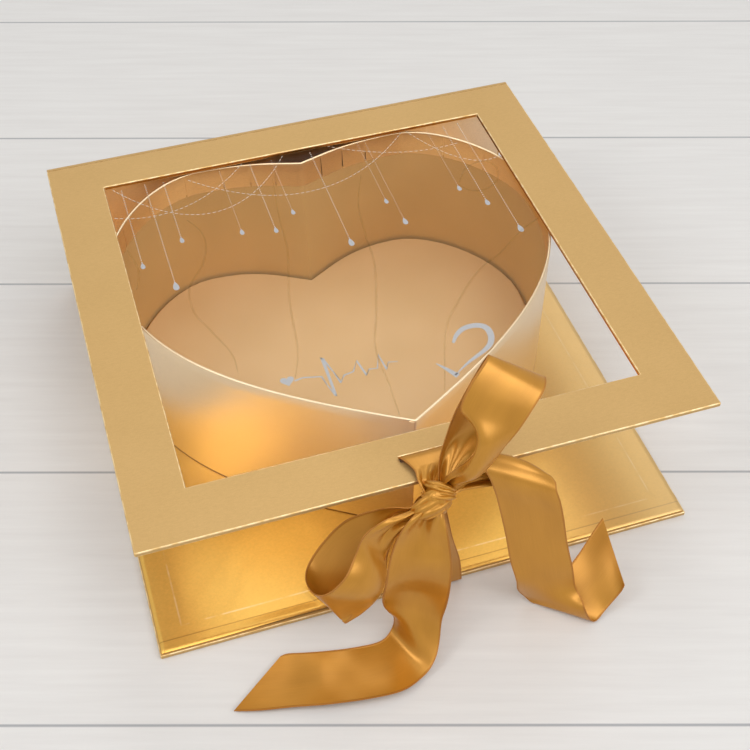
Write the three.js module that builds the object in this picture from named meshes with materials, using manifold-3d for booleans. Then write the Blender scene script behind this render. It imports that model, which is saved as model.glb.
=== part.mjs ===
// Gift box with a heart-shaped tray, a book-style case with a window lid, and a satin bow.
// Millimetres, +Z up. The origin is the middle of the underside, and the front of the box faces -Y.
import * as THREE from 'three';
import { mergeVertices } from 'three/addons/utils/BufferGeometryUtils.js';
import Module from 'manifold-3d';

const wasm = await Module();
wasm.setup();

// Driving dimensions of the case
const LID_WIDTH = 220;
const CASE_DEPTH = 218;
const LID_OVERHANG_FRONT = 1.3;
const LID_OVERHANG_SIDE = 0.2;
const BOARD = 1.5;
const PAPER = 0.25;
const FILM = 0.2;
const LINER_CARD = 1.0;
const LINER_MARGIN = 0.8;
const HINGE_RADIUS = 4;
const HINGE_STEPS = 8;
const TURN_IN = 12;

// Driving dimensions of the window in the lid
const WINDOW_MARGIN = 22.5;
const WINDOW_TURN_IN = 8;
const FILM_LAP = 10;
const LID_LINER_MARGIN = 3;
const LINER_SET_BACK = 1.5;

// Driving dimensions of the heart tray
const TRAY_HEIGHT = 66;
const TRAY_BOARD = 1;
const RIM_TURN_IN = 12;
const HEART_HALF_WIDTH = 94.5;
const HEART_WIDEST_Y = 33;
const HEART_LOBE_X = 46;
const HEART_LOBE_Y = 88.5;
const HEART_TIP_Y = -80.5;
const CLEFT_PULL = 13.8;
const CLEFT_RISE = 0.5;
const LOBE_PULL_IN = 23;
const LOBE_PULL_OUT = 22;
const SHOULDER_PULL = 26;
const FLANK_PULL = 56;
const TIP_PULL = 28;
const TIP_SPREAD = 48.2;
const TIP_JOINT = 0.3;
const CLEFT_DEPTH_AT_FOOT = 15.5;
const CLEFT_DEPTH_AT_RIM = 8;
const SLITS_PER_LOBE = 6;
const SLIT_WIDTH = 0.8;
const RIM_FOLD = 2;

// Driving dimensions of the ribbon
const RIBBON_WIDTH = 25;
const RIBBON_THICKNESS = 0.5;
const SLOT_PLAY = 1;
const SLOT_WIDTH = 2.4;
const SLOT_X = 1.5;
const TONGUE_LENGTH = 8;
const STRAP_X = -2;
const KNOT_X = -5;
const KNOT_REACH = 8;
const KNOT_DROP = 3;
const KNOT_LENGTH = 16;
const KNOT_DEPTH = 10.4;
const KNOT_HEIGHT = 14.4;
const KNOT_WRAPS = 3;
const WRAP_RISE = 0.06;
const KNOT_SLANT = 0.3;

// Clearances
const SEAT_GAP = 0.3;
const RIBBON_GAP = 0.3;
const GLUE_LINE = 0.25;

// How far a cutting block runs past the faces that it cuts
const OVERCUT = 1;

// Levels and edges that follow from the dimensions above
const baseWidth = LID_WIDTH - 2 * LID_OVERHANG_SIDE;
const backY = CASE_DEPTH / 2;
const lidFrontY = -CASE_DEPTH / 2;
const baseFrontY = lidFrontY + LID_OVERHANG_FRONT;
const panelBackY = backY - HINGE_RADIUS;
const baseBoardTop = PAPER + BOARD;
const linerBottom = baseBoardTop + PAPER;
const baseTop = linerBottom + LINER_CARD + PAPER;
const rimTop = baseTop + TRAY_HEIGHT;
const lidLinerBottom = rimTop + SEAT_GAP;
const filmBottom = lidLinerBottom + PAPER;
const lidBottom = filmBottom + FILM;
const lidBoardBottom = lidBottom + PAPER;
const lidBoardTop = lidBoardBottom + BOARD;
const lidTop = lidBoardTop + PAPER;
const windowHalfX = LID_WIDTH / 2 - WINDOW_MARGIN;
const windowFrontY = lidFrontY + WINDOW_MARGIN;
const windowBackY = backY - WINDOW_MARGIN;
const slotY = lidFrontY + WINDOW_MARGIN / 2;

// Colours and finishes
const greyBoard = { color: 0x8f8a80, roughness: 0.9, metalness: 0 };
const satinGold = { color: 0xd2aa62, roughness: 0.42, metalness: 0.85 };
const goldFoil = { color: 0xd9a045, roughness: 0.22, metalness: 1 };
const champagnePaper = { color: 0xb98f5c, roughness: 0.75, metalness: 0.1 };
const clearFilm = { color: 0xffffff, roughness: 0.05, metalness: 0, transparent: true, opacity: 0.2 };
const goldSatin = { color: 0xc98a2e, roughness: 0.45, metalness: 0.2 };

const giftBox = new THREE.Group();

function addPiece(name, geometry, finish) {
  const mesh = new THREE.Mesh(geometry, new THREE.MeshStandardMaterial(finish));
  mesh.name = name;
  giftBox.add(mesh);
}

// A flat block between two corners
function block(x0, x1, y0, y1, z0, z1) {
  const geometry = new THREE.BoxGeometry(x1 - x0, y1 - y0, z1 - z0);
  geometry.translate((x0 + x1) / 2, (y0 + y1) / 2, (z0 + z1) / 2);
  return geometry;
}

function toSolid(geometry) {
  const bare = geometry.clone();
  bare.deleteAttribute('normal');
  bare.deleteAttribute('uv');
  const merged = mergeVertices(bare, 1e-4);
  return new wasm.Manifold(new wasm.Mesh({
    numProp: 3,
    vertProperties: new Float32Array(merged.attributes.position.array),
    triVerts: new Uint32Array(merged.index.array),
  }));
}

function toGeometry(solid) {
  const mesh = solid.getMesh();
  const geometry = new THREE.BufferGeometry();
  geometry.setAttribute('position', new THREE.BufferAttribute(new Float32Array(mesh.vertProperties), 3));
  geometry.setIndex(new THREE.BufferAttribute(new Uint32Array(mesh.triVerts), 1));
  return geometry;
}

function cutAway(geometry, cutters) {
  let solid = toSolid(geometry);
  for (const cutter of cutters) {
    solid = solid.subtract(toSolid(cutter));
  }
  return toGeometry(solid);
}

// A closed body through rings of points: the rings close on themselves, or end in caps.
// Each four-cornered face is split upwards, so that neighbouring bands of the tray stay parallel.
function loft(rings, closesOnItself) {
  const size = rings[0].length;
  const corners = rings.flat().flatMap((point) => [point.x, point.y, point.z]);
  const faces = [];
  const spans = closesOnItself ? rings.length : rings.length - 1;
  for (let i = 0; i < spans; i += 1) {
    const here = i * size;
    const next = ((i + 1) % rings.length) * size;
    for (let j = 0; j < size; j += 1) {
      const k = (j + 1) % size;
      if (rings[0][j].z <= rings[0][k].z) {
        faces.push(here + j, here + k, next + k, here + j, next + k, next + j);
      } else {
        faces.push(here + j, here + k, next + j, here + k, next + k, next + j);
      }
    }
  }
  if (!closesOnItself) {
    const last = (rings.length - 1) * size;
    for (let j = 1; j < size - 1; j += 1) {
      faces.push(0, j + 1, j);
      faces.push(last, last + j, last + j + 1);
    }
  }
  const geometry = new THREE.BufferGeometry();
  geometry.setAttribute('position', new THREE.BufferAttribute(new Float32Array(corners), 3));
  geometry.setIndex(volumeOf(corners, faces) < 0 ? faces.toReversed() : faces);
  return geometry;
}

function volumeOf(corners, faces) {
  let sixVolumes = 0;
  const [a, b, c] = [new THREE.Vector3(), new THREE.Vector3(), new THREE.Vector3()];
  for (let i = 0; i < faces.length; i += 3) {
    a.fromArray(corners, faces[i] * 3);
    b.fromArray(corners, faces[i + 1] * 3);
    c.fromArray(corners, faces[i + 2] * 3);
    sixVolumes += a.dot(b.cross(c));
  }
  return sixVolumes / 6;
}

// Base panel: grey board, and the gold paper wrapped round it with its edges turned in
const baseHalfX = baseWidth / 2;
const strapRebateDepth = RIBBON_THICKNESS + RIBBON_GAP;
const strapHalf = RIBBON_WIDTH / 2 + RIBBON_GAP;

function strapRebate(y0, y1) {
  const bottom = baseBoardTop - strapRebateDepth;
  return block(STRAP_X - strapHalf, STRAP_X + strapHalf, y0, y1, bottom, baseBoardTop);
}

function buildBasePanel() {
  const boardHalfX = baseHalfX - PAPER;
  const boardFrontY = baseFrontY + PAPER;
  const board = block(-boardHalfX, boardHalfX, boardFrontY, panelBackY, PAPER, baseBoardTop);
  const rebateBackY = boardFrontY + TONGUE_LENGTH + RIBBON_GAP;
  addPiece('base_board', cutAway(board, [strapRebate(boardFrontY - OVERCUT, rebateBackY)]), greyBoard);

  const outside = block(-baseHalfX, baseHalfX, baseFrontY, panelBackY, 0, linerBottom);
  const inside = block(-boardHalfX, boardHalfX, boardFrontY, panelBackY + OVERCUT, PAPER, baseBoardTop);
  const betweenTurnIns = block(
    -baseHalfX + TURN_IN, baseHalfX - TURN_IN, baseFrontY + TURN_IN, panelBackY + OVERCUT,
    PAPER, linerBottom + OVERCUT,
  );
  const strapSlit = strapRebate(baseFrontY - OVERCUT, boardFrontY + OVERCUT);
  addPiece('base_wrap', cutAway(outside, [inside, betweenTurnIns, strapSlit]), satinGold);
}

// Inner floor of the case: a thin card covered with foil, glued over the turned-in paper
function buildBaseLiner() {
  const halfX = baseHalfX - LINER_MARGIN;
  const frontY = baseFrontY + LINER_MARGIN;
  const backEdgeY = panelBackY - LINER_MARGIN;
  const cardHalfX = halfX - PAPER;
  const cardTop = linerBottom + LINER_CARD;
  const card = block(-cardHalfX, cardHalfX, frontY + PAPER, backEdgeY - PAPER, linerBottom, cardTop);
  addPiece('base_liner_card', card, greyBoard);
  const cover = block(-halfX, halfX, frontY, backEdgeY, linerBottom, baseTop);
  const hollow = block(
    -cardHalfX, cardHalfX, frontY + PAPER, backEdgeY - PAPER, linerBottom - OVERCUT, cardTop,
  );
  addPiece('base_liner_foil', cutAway(cover, [hollow]), goldFoil);
}

// Spine: the upright board at the back, wrapped outside and lined inside
const spineBottom = HINGE_RADIUS;
const spineTop = lidTop - HINGE_RADIUS;

function buildSpine() {
  const boardHalfX = baseHalfX - PAPER;
  const boardBackY = backY - PAPER;
  const boardFrontY = boardBackY - BOARD;
  const linerFrontY = boardFrontY - PAPER;
  const board = block(-boardHalfX, boardHalfX, boardFrontY, boardBackY, spineBottom, spineTop);
  addPiece('spine_board', board, greyBoard);

  const outside = block(-baseHalfX, baseHalfX, linerFrontY, backY, spineBottom, spineTop);
  const below = spineBottom - OVERCUT;
  const above = spineTop + OVERCUT;
  const inside = block(-boardHalfX, boardHalfX, boardFrontY, boardBackY, below, above);
  const betweenTurnIns = block(
    -baseHalfX + TURN_IN, baseHalfX - TURN_IN, linerFrontY - OVERCUT, boardFrontY, below, above,
  );
  addPiece('spine_wrap', cutAway(outside, [inside, betweenTurnIns]), satinGold);

  const linerHalfX = baseHalfX - LINER_MARGIN;
  const liner = block(-linerHalfX, linerHalfX, linerFrontY - PAPER, linerFrontY, spineBottom, spineTop);
  addPiece('spine_liner', liner, goldFoil);
}

// Hinges: bare paper between two boards, bent round a quarter circle while the box is shut
function hingePaper(startAngle, centreZ) {
  const outline = new THREE.Shape();
  outline.absarc(panelBackY, centreZ, HINGE_RADIUS, startAngle, startAngle + Math.PI / 2, false);
  outline.absarc(panelBackY, centreZ, HINGE_RADIUS - PAPER, startAngle + Math.PI / 2, startAngle, true);
  const strip = new THREE.ExtrudeGeometry(outline, {
    depth: baseWidth, bevelEnabled: false, curveSegments: HINGE_STEPS,
  });
  const alongX = new THREE.Matrix4().makeBasis(
    new THREE.Vector3(0, 1, 0), new THREE.Vector3(0, 0, 1), new THREE.Vector3(1, 0, 0),
  );
  strip.applyMatrix4(alongX);
  strip.translate(-baseHalfX, 0, 0);
  return strip;
}

function buildHinges() {
  addPiece('base_hinge_paper', hingePaper(-Math.PI / 2, spineBottom), satinGold);
  addPiece('lid_hinge_paper', hingePaper(0, spineTop), satinGold);
}

// Lid: a board frame wrapped in gold paper, the clear film and the liner that hides its edges
const tongueHalf = RIBBON_WIDTH / 2 + RIBBON_GAP;
const slotHalfX = RIBBON_WIDTH / 2 + SLOT_PLAY;
const slotBackY = slotY + SLOT_WIDTH / 2;
const slotFrontY = slotY - SLOT_WIDTH / 2;
const rebateTop = lidBoardBottom + RIBBON_THICKNESS + RIBBON_GAP;

function ribbonSlot() {
  const above = lidTop + OVERCUT;
  return block(SLOT_X - slotHalfX, SLOT_X + slotHalfX, slotFrontY, slotBackY, lidBoardBottom, above);
}

function windowHole(grow, z0, z1) {
  return block(
    -windowHalfX - grow, windowHalfX + grow, windowFrontY - grow, windowBackY + grow, z0, z1,
  );
}

function buildLidFrame() {
  const halfX = LID_WIDTH / 2;
  const boardHalfX = halfX - PAPER;
  const boardFrontY = lidFrontY + PAPER;
  const board = block(-boardHalfX, boardHalfX, boardFrontY, panelBackY, lidBoardBottom, lidBoardTop);
  const tongueRebate = block(
    SLOT_X - tongueHalf, SLOT_X + tongueHalf, slotFrontY, slotBackY + TONGUE_LENGTH + RIBBON_GAP,
    lidBoardBottom - OVERCUT, rebateTop,
  );
  const boardWindow = windowHole(PAPER, lidBoardBottom - OVERCUT, lidBoardTop + OVERCUT);
  addPiece('lid_board', cutAway(board, [boardWindow, ribbonSlot(), tongueRebate]), greyBoard);

  const outside = block(-halfX, halfX, lidFrontY, panelBackY, lidBottom, lidTop);
  const inside = cutAway(
    block(-boardHalfX, boardHalfX, boardFrontY, panelBackY + OVERCUT, lidBoardBottom, lidBoardTop),
    [boardWindow],
  );
  const betweenTurnIns = cutAway(
    block(
      -halfX + TURN_IN, halfX - TURN_IN, lidFrontY + TURN_IN, panelBackY + OVERCUT,
      lidBottom - OVERCUT, lidBoardBottom,
    ),
    [windowHole(WINDOW_TURN_IN, lidBottom - 2 * OVERCUT, lidBoardBottom + OVERCUT)],
  );
  const paperWindow = windowHole(0, lidBottom - OVERCUT, lidTop + OVERCUT);
  addPiece('lid_wrap', cutAway(outside, [inside, betweenTurnIns, paperWindow, ribbonSlot()]), satinGold);
}

function buildWindow() {
  addPiece('window_film', windowHole(FILM_LAP, filmBottom, lidBottom), clearFilm);
  const linerHalfX = LID_WIDTH / 2 - LID_LINER_MARGIN;
  const linerFrontY = lidFrontY + LID_LINER_MARGIN;
  const linerBackY = panelBackY - LID_LINER_MARGIN;
  const liner = block(-linerHalfX, linerHalfX, linerFrontY, linerBackY, lidLinerBottom, filmBottom);
  const opening = windowHole(LINER_SET_BACK, lidLinerBottom - OVERCUT, filmBottom + OVERCUT);
  addPiece('lid_liner', cutAway(liner, [opening]), goldFoil);
}

// Heart outline: right half from the cleft over the lobe to the tip, inset from the outer face.
// The cleft is deeper at the foot, where the floor holds it, than at the rim, where the wall springs back.
const STEPS_TO_LOBE = 8;
const STEPS_TO_WIDEST = 11;
const STEPS_TO_TIP = 13;

function cleftYAt(z) {
  const rise = (z - baseTop) / TRAY_HEIGHT;
  return HEART_LOBE_Y - THREE.MathUtils.lerp(CLEFT_DEPTH_AT_FOOT, CLEFT_DEPTH_AT_RIM, rise);
}

function halfHeartCurves(z) {
  const cleftY = cleftYAt(z);
  const point = (x, y) => new THREE.Vector2(x, y);
  const lobe = point(HEART_LOBE_X, HEART_LOBE_Y);
  const widest = point(HEART_HALF_WIDTH, HEART_WIDEST_Y);
  const cleftRise = (HEART_LOBE_Y - cleftY) * CLEFT_RISE;
  return [
    [STEPS_TO_LOBE, new THREE.CubicBezierCurve(
      point(0, cleftY),
      point(CLEFT_PULL, cleftY + cleftRise),
      point(HEART_LOBE_X - LOBE_PULL_IN, HEART_LOBE_Y),
      lobe,
    )],
    [STEPS_TO_WIDEST, new THREE.CubicBezierCurve(
      lobe,
      point(HEART_LOBE_X + LOBE_PULL_OUT, HEART_LOBE_Y),
      point(HEART_HALF_WIDTH, HEART_WIDEST_Y + SHOULDER_PULL),
      widest,
    )],
    [STEPS_TO_TIP, new THREE.CubicBezierCurve(
      widest,
      point(HEART_HALF_WIDTH, HEART_WIDEST_Y - FLANK_PULL),
      point(TIP_SPREAD, HEART_TIP_Y + TIP_PULL),
      point(0, HEART_TIP_Y),
    )],
  ];
}

function crossMiddle(point, tangent) {
  return new THREE.Vector2(0, point.y - (tangent.y * point.x) / tangent.x);
}

function halfHeart(inset, z) {
  const points = [];
  for (const [steps, curve] of halfHeartCurves(z)) {
    for (let i = points.length === 0 ? 0 : 1; i <= steps; i += 1) {
      const tangent = curve.getTangent(i / steps);
      const inward = new THREE.Vector2(tangent.y, -tangent.x);
      points.push({ at: curve.getPoint(i / steps).addScaledVector(inward, inset), tangent });
    }
  }
  const last = points.length - 1;
  points[0].at = crossMiddle(points[0].at, points[0].tangent);
  points[last].at = crossMiddle(points[last].at, points[last].tangent);
  return points.map((entry) => entry.at);
}

// The whole outline, clockwise from the tip up the left side, over both lobes and back
function wholeHeart(inset, z) {
  const right = halfHeart(inset, z);
  const left = right.map((point) => new THREE.Vector2(-point.x, point.y)).reverse();
  return [...left, ...right.slice(1, -1)];
}

// A band that runs round the heart. Its section lists corners as [inset, height].
function heartBand(section) {
  const atHeight = (z) => (point) => new THREE.Vector3(point.x, point.y, z);
  const outlines = section.map(([inset, z]) => wholeHeart(inset, z).map(atHeight(z)));
  const rings = outlines[0].map((_, i) => outlines.map((outline) => outline[i]));
  return loft(rings, true);
}

const wallOuter = PAPER + GLUE_LINE;
const wallInner = wallOuter + TRAY_BOARD;
const liningOuter = wallInner + GLUE_LINE;
const liningInner = liningOuter + PAPER;

function buildTrayWall() {
  const wallTop = rimTop - PAPER;
  const wall = heartBand([
    [wallOuter, baseTop], [wallInner, baseTop], [wallInner, wallTop], [wallOuter, wallTop],
  ]);
  const tipJoint = block(
    -TIP_JOINT / 2, TIP_JOINT / 2, HEART_TIP_Y - OVERCUT, HEART_TIP_Y + 2 * wallInner + OVERCUT,
    baseTop - OVERCUT, rimTop + OVERCUT,
  );
  addPiece('tray_wall', cutAway(wall, [tipJoint]), greyBoard);
}

// Foil on the outside of the tray, folded over the rim. Its turned-in edge is slit round the lobes.
function rimSlit(at, outward) {
  const reach = liningInner + SLIT_WIDTH;
  const slit = new THREE.Shape();
  slit.moveTo(-SLIT_WIDTH / 2, rimTop - RIM_TURN_IN - OVERCUT);
  slit.lineTo(SLIT_WIDTH / 2, rimTop - RIM_TURN_IN - OVERCUT);
  slit.lineTo(0, rimTop - RIM_FOLD);
  const cutter = new THREE.ExtrudeGeometry(slit, { depth: reach - wallOuter, bevelEnabled: false });
  const up = new THREE.Vector3(0, 0, 1);
  const placed = new THREE.Matrix4().makeBasis(up.clone().cross(outward), up, outward);
  placed.setPosition(at.clone().addScaledVector(outward, -reach));
  return cutter.applyMatrix4(placed);
}

function rimSlits() {
  const [[, cleftSide], [, outerSide]] = halfHeartCurves(rimTop);
  const lobe = new THREE.CurvePath();
  lobe.add(cleftSide);
  lobe.add(outerSide);
  const cutters = [];
  for (let i = 1; i <= SLITS_PER_LOBE; i += 1) {
    const share = i / (SLITS_PER_LOBE + 1);
    const at = lobe.getPoint(share);
    const tangent = lobe.getTangent(share);
    for (const side of [1, -1]) {
      const outward = new THREE.Vector3(-side * tangent.y, tangent.x, 0);
      cutters.push(rimSlit(new THREE.Vector3(side * at.x, at.y, 0), outward));
    }
  }
  return cutters;
}

function buildTrayFoil() {
  const foldedEdge = rimTop - RIM_TURN_IN;
  const foil = heartBand([
    [0, baseTop], [PAPER, baseTop], [PAPER, rimTop - PAPER], [liningOuter, rimTop - PAPER],
    [liningOuter, foldedEdge], [liningInner, foldedEdge], [liningInner, rimTop], [0, rimTop],
  ]);
  addPiece('tray_foil', cutAway(foil, rimSlits()), goldFoil);
}

function buildTrayLining() {
  const top = rimTop - RIM_TURN_IN - SEAT_GAP;
  const lining = heartBand([
    [liningOuter, baseTop], [liningInner, baseTop], [liningInner, top], [liningOuter, top],
  ]);
  addPiece('tray_lining', lining, champagnePaper);
}

function heartPlate(inset, z, thickness) {
  const plate = new THREE.ExtrudeGeometry(new THREE.Shape(wholeHeart(inset, z)), {
    depth: thickness, bevelEnabled: false, curveSegments: 1,
  });
  plate.translate(0, 0, z);
  return plate;
}

function buildTrayFloor() {
  const inset = liningInner + SEAT_GAP;
  addPiece('tray_floor', heartPlate(inset, baseTop, BOARD), greyBoard);
  addPiece('tray_floor_paper', heartPlate(inset, baseTop + BOARD, PAPER), champagnePaper);
}

// Knot: a small bundle of tight wraps in front of the lid's edge
const knotMiddle = new THREE.Vector3(KNOT_X, lidFrontY - KNOT_REACH, lidTop - KNOT_DROP);
const PROFILE_STEPS = 18;
const KNOT_SIDES = 24;

function knotBundle(grow) {
  const profile = [];
  for (let i = 0; i <= PROFILE_STEPS; i += 1) {
    const angle = (i / PROFILE_STEPS - 0.5) * Math.PI;
    const wrap = 1 + WRAP_RISE * Math.cos(2 * KNOT_WRAPS * angle);
    const onAxis = i === 0 || i === PROFILE_STEPS;
    profile.push(new THREE.Vector2(onAxis ? 0 : Math.cos(angle) * wrap, Math.sin(angle)));
  }
  const bundle = new THREE.LatheGeometry(profile, KNOT_SIDES);
  bundle.rotateX(Math.PI / 2);
  bundle.scale(KNOT_LENGTH / 2 + grow, KNOT_DEPTH / 2 + grow, KNOT_HEIGHT / 2 + grow);
  bundle.rotateY(KNOT_SLANT);
  bundle.translate(knotMiddle.x, knotMiddle.y, knotMiddle.z);
  return bundle;
}

function buildKnot() {
  addPiece('bow_knot', toGeometry(toSolid(knotBundle(0))), goldSatin);
}

// A ribbon through stations. Each one gives the middle, the direction across,
// and how wide the ribbon lies there as a share of its full width: it is gathered towards the knot.
// The stations are millimetres on a bow of 25 mm ribbon, and the bow grows with its ribbon.
const RIBBON_STEPS = 3;
const bowScale = RIBBON_WIDTH / 25;

function station(at, across, spread = 1) {
  return { at, across, spread };
}

function ribbon(stations) {
  const middle = new THREE.CatmullRomCurve3(stations.map(({ at }) => new THREE.Vector3(...at)));
  const across = new THREE.CatmullRomCurve3(stations.map((s) => new THREE.Vector3(...s.across).normalize()));
  const spreads = new THREE.SplineCurve(stations.map(({ spread }, i) => new THREE.Vector2(i, spread)));
  const count = (stations.length - 1) * RIBBON_STEPS;
  const rings = [];
  for (let i = 0; i <= count; i += 1) {
    const t = i / count;
    const at = middle.getPoint(t);
    const side = across.getPoint(t).normalize();
    const face = middle.getTangent(t).cross(side).normalize().multiplyScalar(RIBBON_THICKNESS / 2);
    const half = side.clone().multiplyScalar((RIBBON_WIDTH * spreads.getPoint(t).y) / 2);
    rings.push([
      at.clone().sub(half).sub(face), at.clone().add(half).sub(face),
      at.clone().add(half).add(face), at.clone().sub(half).add(face),
    ]);
  }
  return loft(rings, false);
}

// A ribbon tied into the knot: its ends run inside, and it stops short of the wraps
function tiedRibbon(stations) {
  return cutAway(ribbon(stations), [knotBundle(RIBBON_GAP)]);
}

function fromKnot(x, y, z) {
  return [knotMiddle.x + x * bowScale, knotMiddle.y + y * bowScale, knotMiddle.z + z * bowScale];
}

function onTable(x, y, z) {
  return [knotMiddle.x + x * bowScale, knotMiddle.y + y * bowScale, z * bowScale];
}

// The lid's ribbon: glued into its rebate, up through the slot and gathered over the edge to the knot
function buildLidRibbon() {
  const tongueZ = lidBoardBottom + (RIBBON_THICKNESS + RIBBON_GAP) / 2;
  const overLid = lidTop + RIBBON_THICKNESS / 2 + RIBBON_GAP;
  addPiece('lid_ribbon', tiedRibbon([
    station([SLOT_X, slotY + TONGUE_LENGTH, tongueZ], [1, 0, 0]),
    station([SLOT_X, slotY + 2.4, tongueZ], [1, 0, 0]),
    station([SLOT_X, slotY + 0.8, tongueZ + 0.3], [1, 0, 0]),
    station([SLOT_X, slotY + 0.5, lidBoardTop], [1, 0, 0]),
    station([SLOT_X, slotY + 0.4, lidTop + 0.8], [1, 0, 0]),
    station([SLOT_X - 0.3, slotY - 2.4, overLid + 1.4], [1, 0, 0], 0.92),
    station([SLOT_X - 3, lidFrontY + 3.5, overLid + 1.6], [1, 0, 0], 0.64),
    station([KNOT_X + 0.5, lidFrontY - 1.5, overLid + 1.4], [1, 0, 0], 0.42),
    station(fromKnot(0.3, 2, 2), [1, 0, 0], 0.3),
  ]), goldSatin);
}

function buildUpperLoop() {
  addPiece('bow_loop_upper', tiedRibbon([
    station(fromKnot(3, 1.5, 2), [0.95, -0.3, 0], 0.15),
    station(fromKnot(4.5, 3.5, 5), [0.95, -0.2, -0.2], 0.2),
    station(fromKnot(7.5, 7, 9.5), [0.9, -0.3, -0.35], 0.35),
    station(fromKnot(13.5, 10, 15.5), [0.9, -0.2, -0.35], 0.6),
    station(fromKnot(20.5, 12, 23.5), [0.9, -0.15, -0.4], 0.9),
    station(fromKnot(26.5, 13.5, 33), [0.85, -0.15, -0.5]),
    station(fromKnot(31, 15, 40.5), [0.85, -0.15, -0.55]),
    station(fromKnot(32, 13.5, 45), [0.8, -0.15, -0.55]),
    station(fromKnot(29, 9, 45.5), [0.8, -0.25, -0.5]),
    station(fromKnot(23, 4.5, 42), [0.85, -0.25, -0.45]),
    station(fromKnot(17.5, 1, 36.5), [0.85, -0.25, -0.45], 0.95),
    station(fromKnot(15.5, -1, 30.5), [0.8, -0.3, -0.55], 0.65),
    station(fromKnot(13.5, -1.5, 24), [0.75, -0.4, -0.55], 0.5),
    station(fromKnot(10, -1.5, 17), [0.85, -0.35, -0.45], 0.45),
    station(fromKnot(6.5, 0, 11.5), [0.85, -0.35, -0.4], 0.3),
    station(fromKnot(4.5, 2, 6), [0.85, -0.15, -0.55], 0.15),
  ]), goldSatin);
}

function buildLowerLoop() {
  addPiece('bow_loop_lower', tiedRibbon([
    station(fromKnot(-5, 0, -1.5), [0.1, -0.5, -0.85], 0.15),
    station(fromKnot(-10, -0.5, -2.5), [-0.1, -0.45, -0.85], 0.2),
    station(fromKnot(-15, 1, -5), [-0.1, -0.45, -0.9], 0.35),
    station(fromKnot(-21, 0, -11), [0.05, -0.5, -0.85], 0.7),
    station(fromKnot(-28.5, -0.5, -17), [0.2, -0.45, -0.85], 0.95),
    station(fromKnot(-36, -2.5, -23.5), [0.25, -0.5, -0.85]),
    station(fromKnot(-41.5, -6, -28.5), [0.35, -0.45, -0.8]),
    station(fromKnot(-44, -9, -30), [0.4, -0.3, -0.85]),
    station(fromKnot(-43, -12.5, -29.5), [0.45, -0.15, -0.85]),
    station(fromKnot(-38, -14, -26.5), [0.55, 0.05, -0.85], 0.95),
    station(fromKnot(-32, -13, -21.5), [0.5, 0, -0.85], 0.9),
    station(fromKnot(-27.5, -9.5, -16.5), [0.5, -0.15, -0.85], 0.8),
    station(fromKnot(-24, -5, -10), [0.5, 0, -0.85], 0.7),
    station(fromKnot(-18.5, -3, -5), [0.4, -0.15, -0.85], 0.4),
    station(fromKnot(-12.5, -2.5, -2.5), [0.35, -0.45, -0.85], 0.2),
    station(fromKnot(-5, -1, -2.5), [0.1, -0.75, -0.65], 0.15),
  ]), goldSatin);
}

// The tails hang from the knot, turn along the table and end in slanting cuts
function buildCentreTail() {
  addPiece('bow_tail_centre', tiedRibbon([
    station(fromKnot(-1, -0.5, -1), [0.9, 0, -0.4], 0.25),
    station(fromKnot(-4, -4, -2), [0.95, -0.15, -0.3], 0.45),
    station(fromKnot(-6.5, -7, -5.5), [0.95, -0.25, -0.2], 0.65),
    station(fromKnot(-8, -9, -12), [0.95, -0.3, -0.15], 0.8),
    station(fromKnot(-9, -10.5, -20.5), [0.95, -0.3, -0.05], 0.9),
    station(fromKnot(-10, -11.5, -30.5), [0.95, -0.25, -0.1], 0.95),
    station(fromKnot(-11, -11.5, -41.5), [0.95, -0.2, -0.3]),
    station(fromKnot(-11.5, -11, -50), [0.85, -0.25, -0.45], 0.9),
    station(fromKnot(-11.5, -13, -56), [0.7, -0.4, -0.6], 0.8),
    station(fromKnot(-12.5, -16.5, -59.5), [0.5, -0.65, -0.55], 0.75),
    station(onTable(-15.5, -18, 4), [0.25, -0.95, 0.05], 0.8),
    station(onTable(-23, -21.5, 3.5), [0.05, -1, 0.15], 0.85),
    station(onTable(-34.5, -21, 3.5), [-0.1, -1, 0.2], 0.9),
    station(onTable(-48, -18.5, 3), [-0.2, -0.95, 0.15], 0.95),
    station(onTable(-60.5, -15, 2), [-0.4, -0.9, 0.1], 0.9),
    station(onTable(-72.5, -12, 1), [-0.8, -0.6, 0], 1.1),
  ]), goldSatin);
}

function buildRightTail() {
  addPiece('bow_tail_right', tiedRibbon([
    station(fromKnot(4, 1, 0), [0.25, 0, -0.95], 0.2),
    station(fromKnot(8.5, 2.5, 1.5), [0.4, 0, -0.95], 0.2),
    station(fromKnot(14, 3.5, 1.5), [0.35, -0.55, -0.75], 0.25),
    station(fromKnot(21.5, 4, 1), [0.55, -0.6, -0.55], 0.4),
    station(fromKnot(28.5, 4, 1), [0.65, -0.4, -0.6], 0.7),
    station(fromKnot(32, 2.5, 5.5), [0.8, -0.35, -0.45], 0.85),
    station(fromKnot(31.5, 0, 5), [0.85, -0.3, -0.4], 1.05),
    station(fromKnot(30.5, -3, 3.5), [0.85, -0.25, -0.4], 1.05),
    station(fromKnot(32, -5, -1.5), [0.85, -0.25, -0.45], 1.05),
    station(fromKnot(34, -6.5, -10.5), [0.85, -0.25, -0.4], 1.05),
    station(fromKnot(36.5, -9, -25.5), [0.9, -0.25, -0.3]),
    station(fromKnot(39, -12, -40.5), [0.95, -0.25, -0.25]),
    station(fromKnot(41.5, -14, -53), [0.95, -0.25, -0.3]),
    station(onTable(44.5, -16.5, 6.5), [0.75, -0.65, 0.2]),
    station(onTable(49, -19, 1.5), [0.75, -0.65, 0], 0.9),
    station(onTable(57.5, -15.5, 6), [0.55, -0.8, -0.3], 0.85),
    station(onTable(65, -12, 11), [0.3, -0.9, -0.3], 0.9),
    station(onTable(72, -8, 17), [-0.05, -0.95, -0.35], 1.1),
  ]), goldSatin);
}

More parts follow.
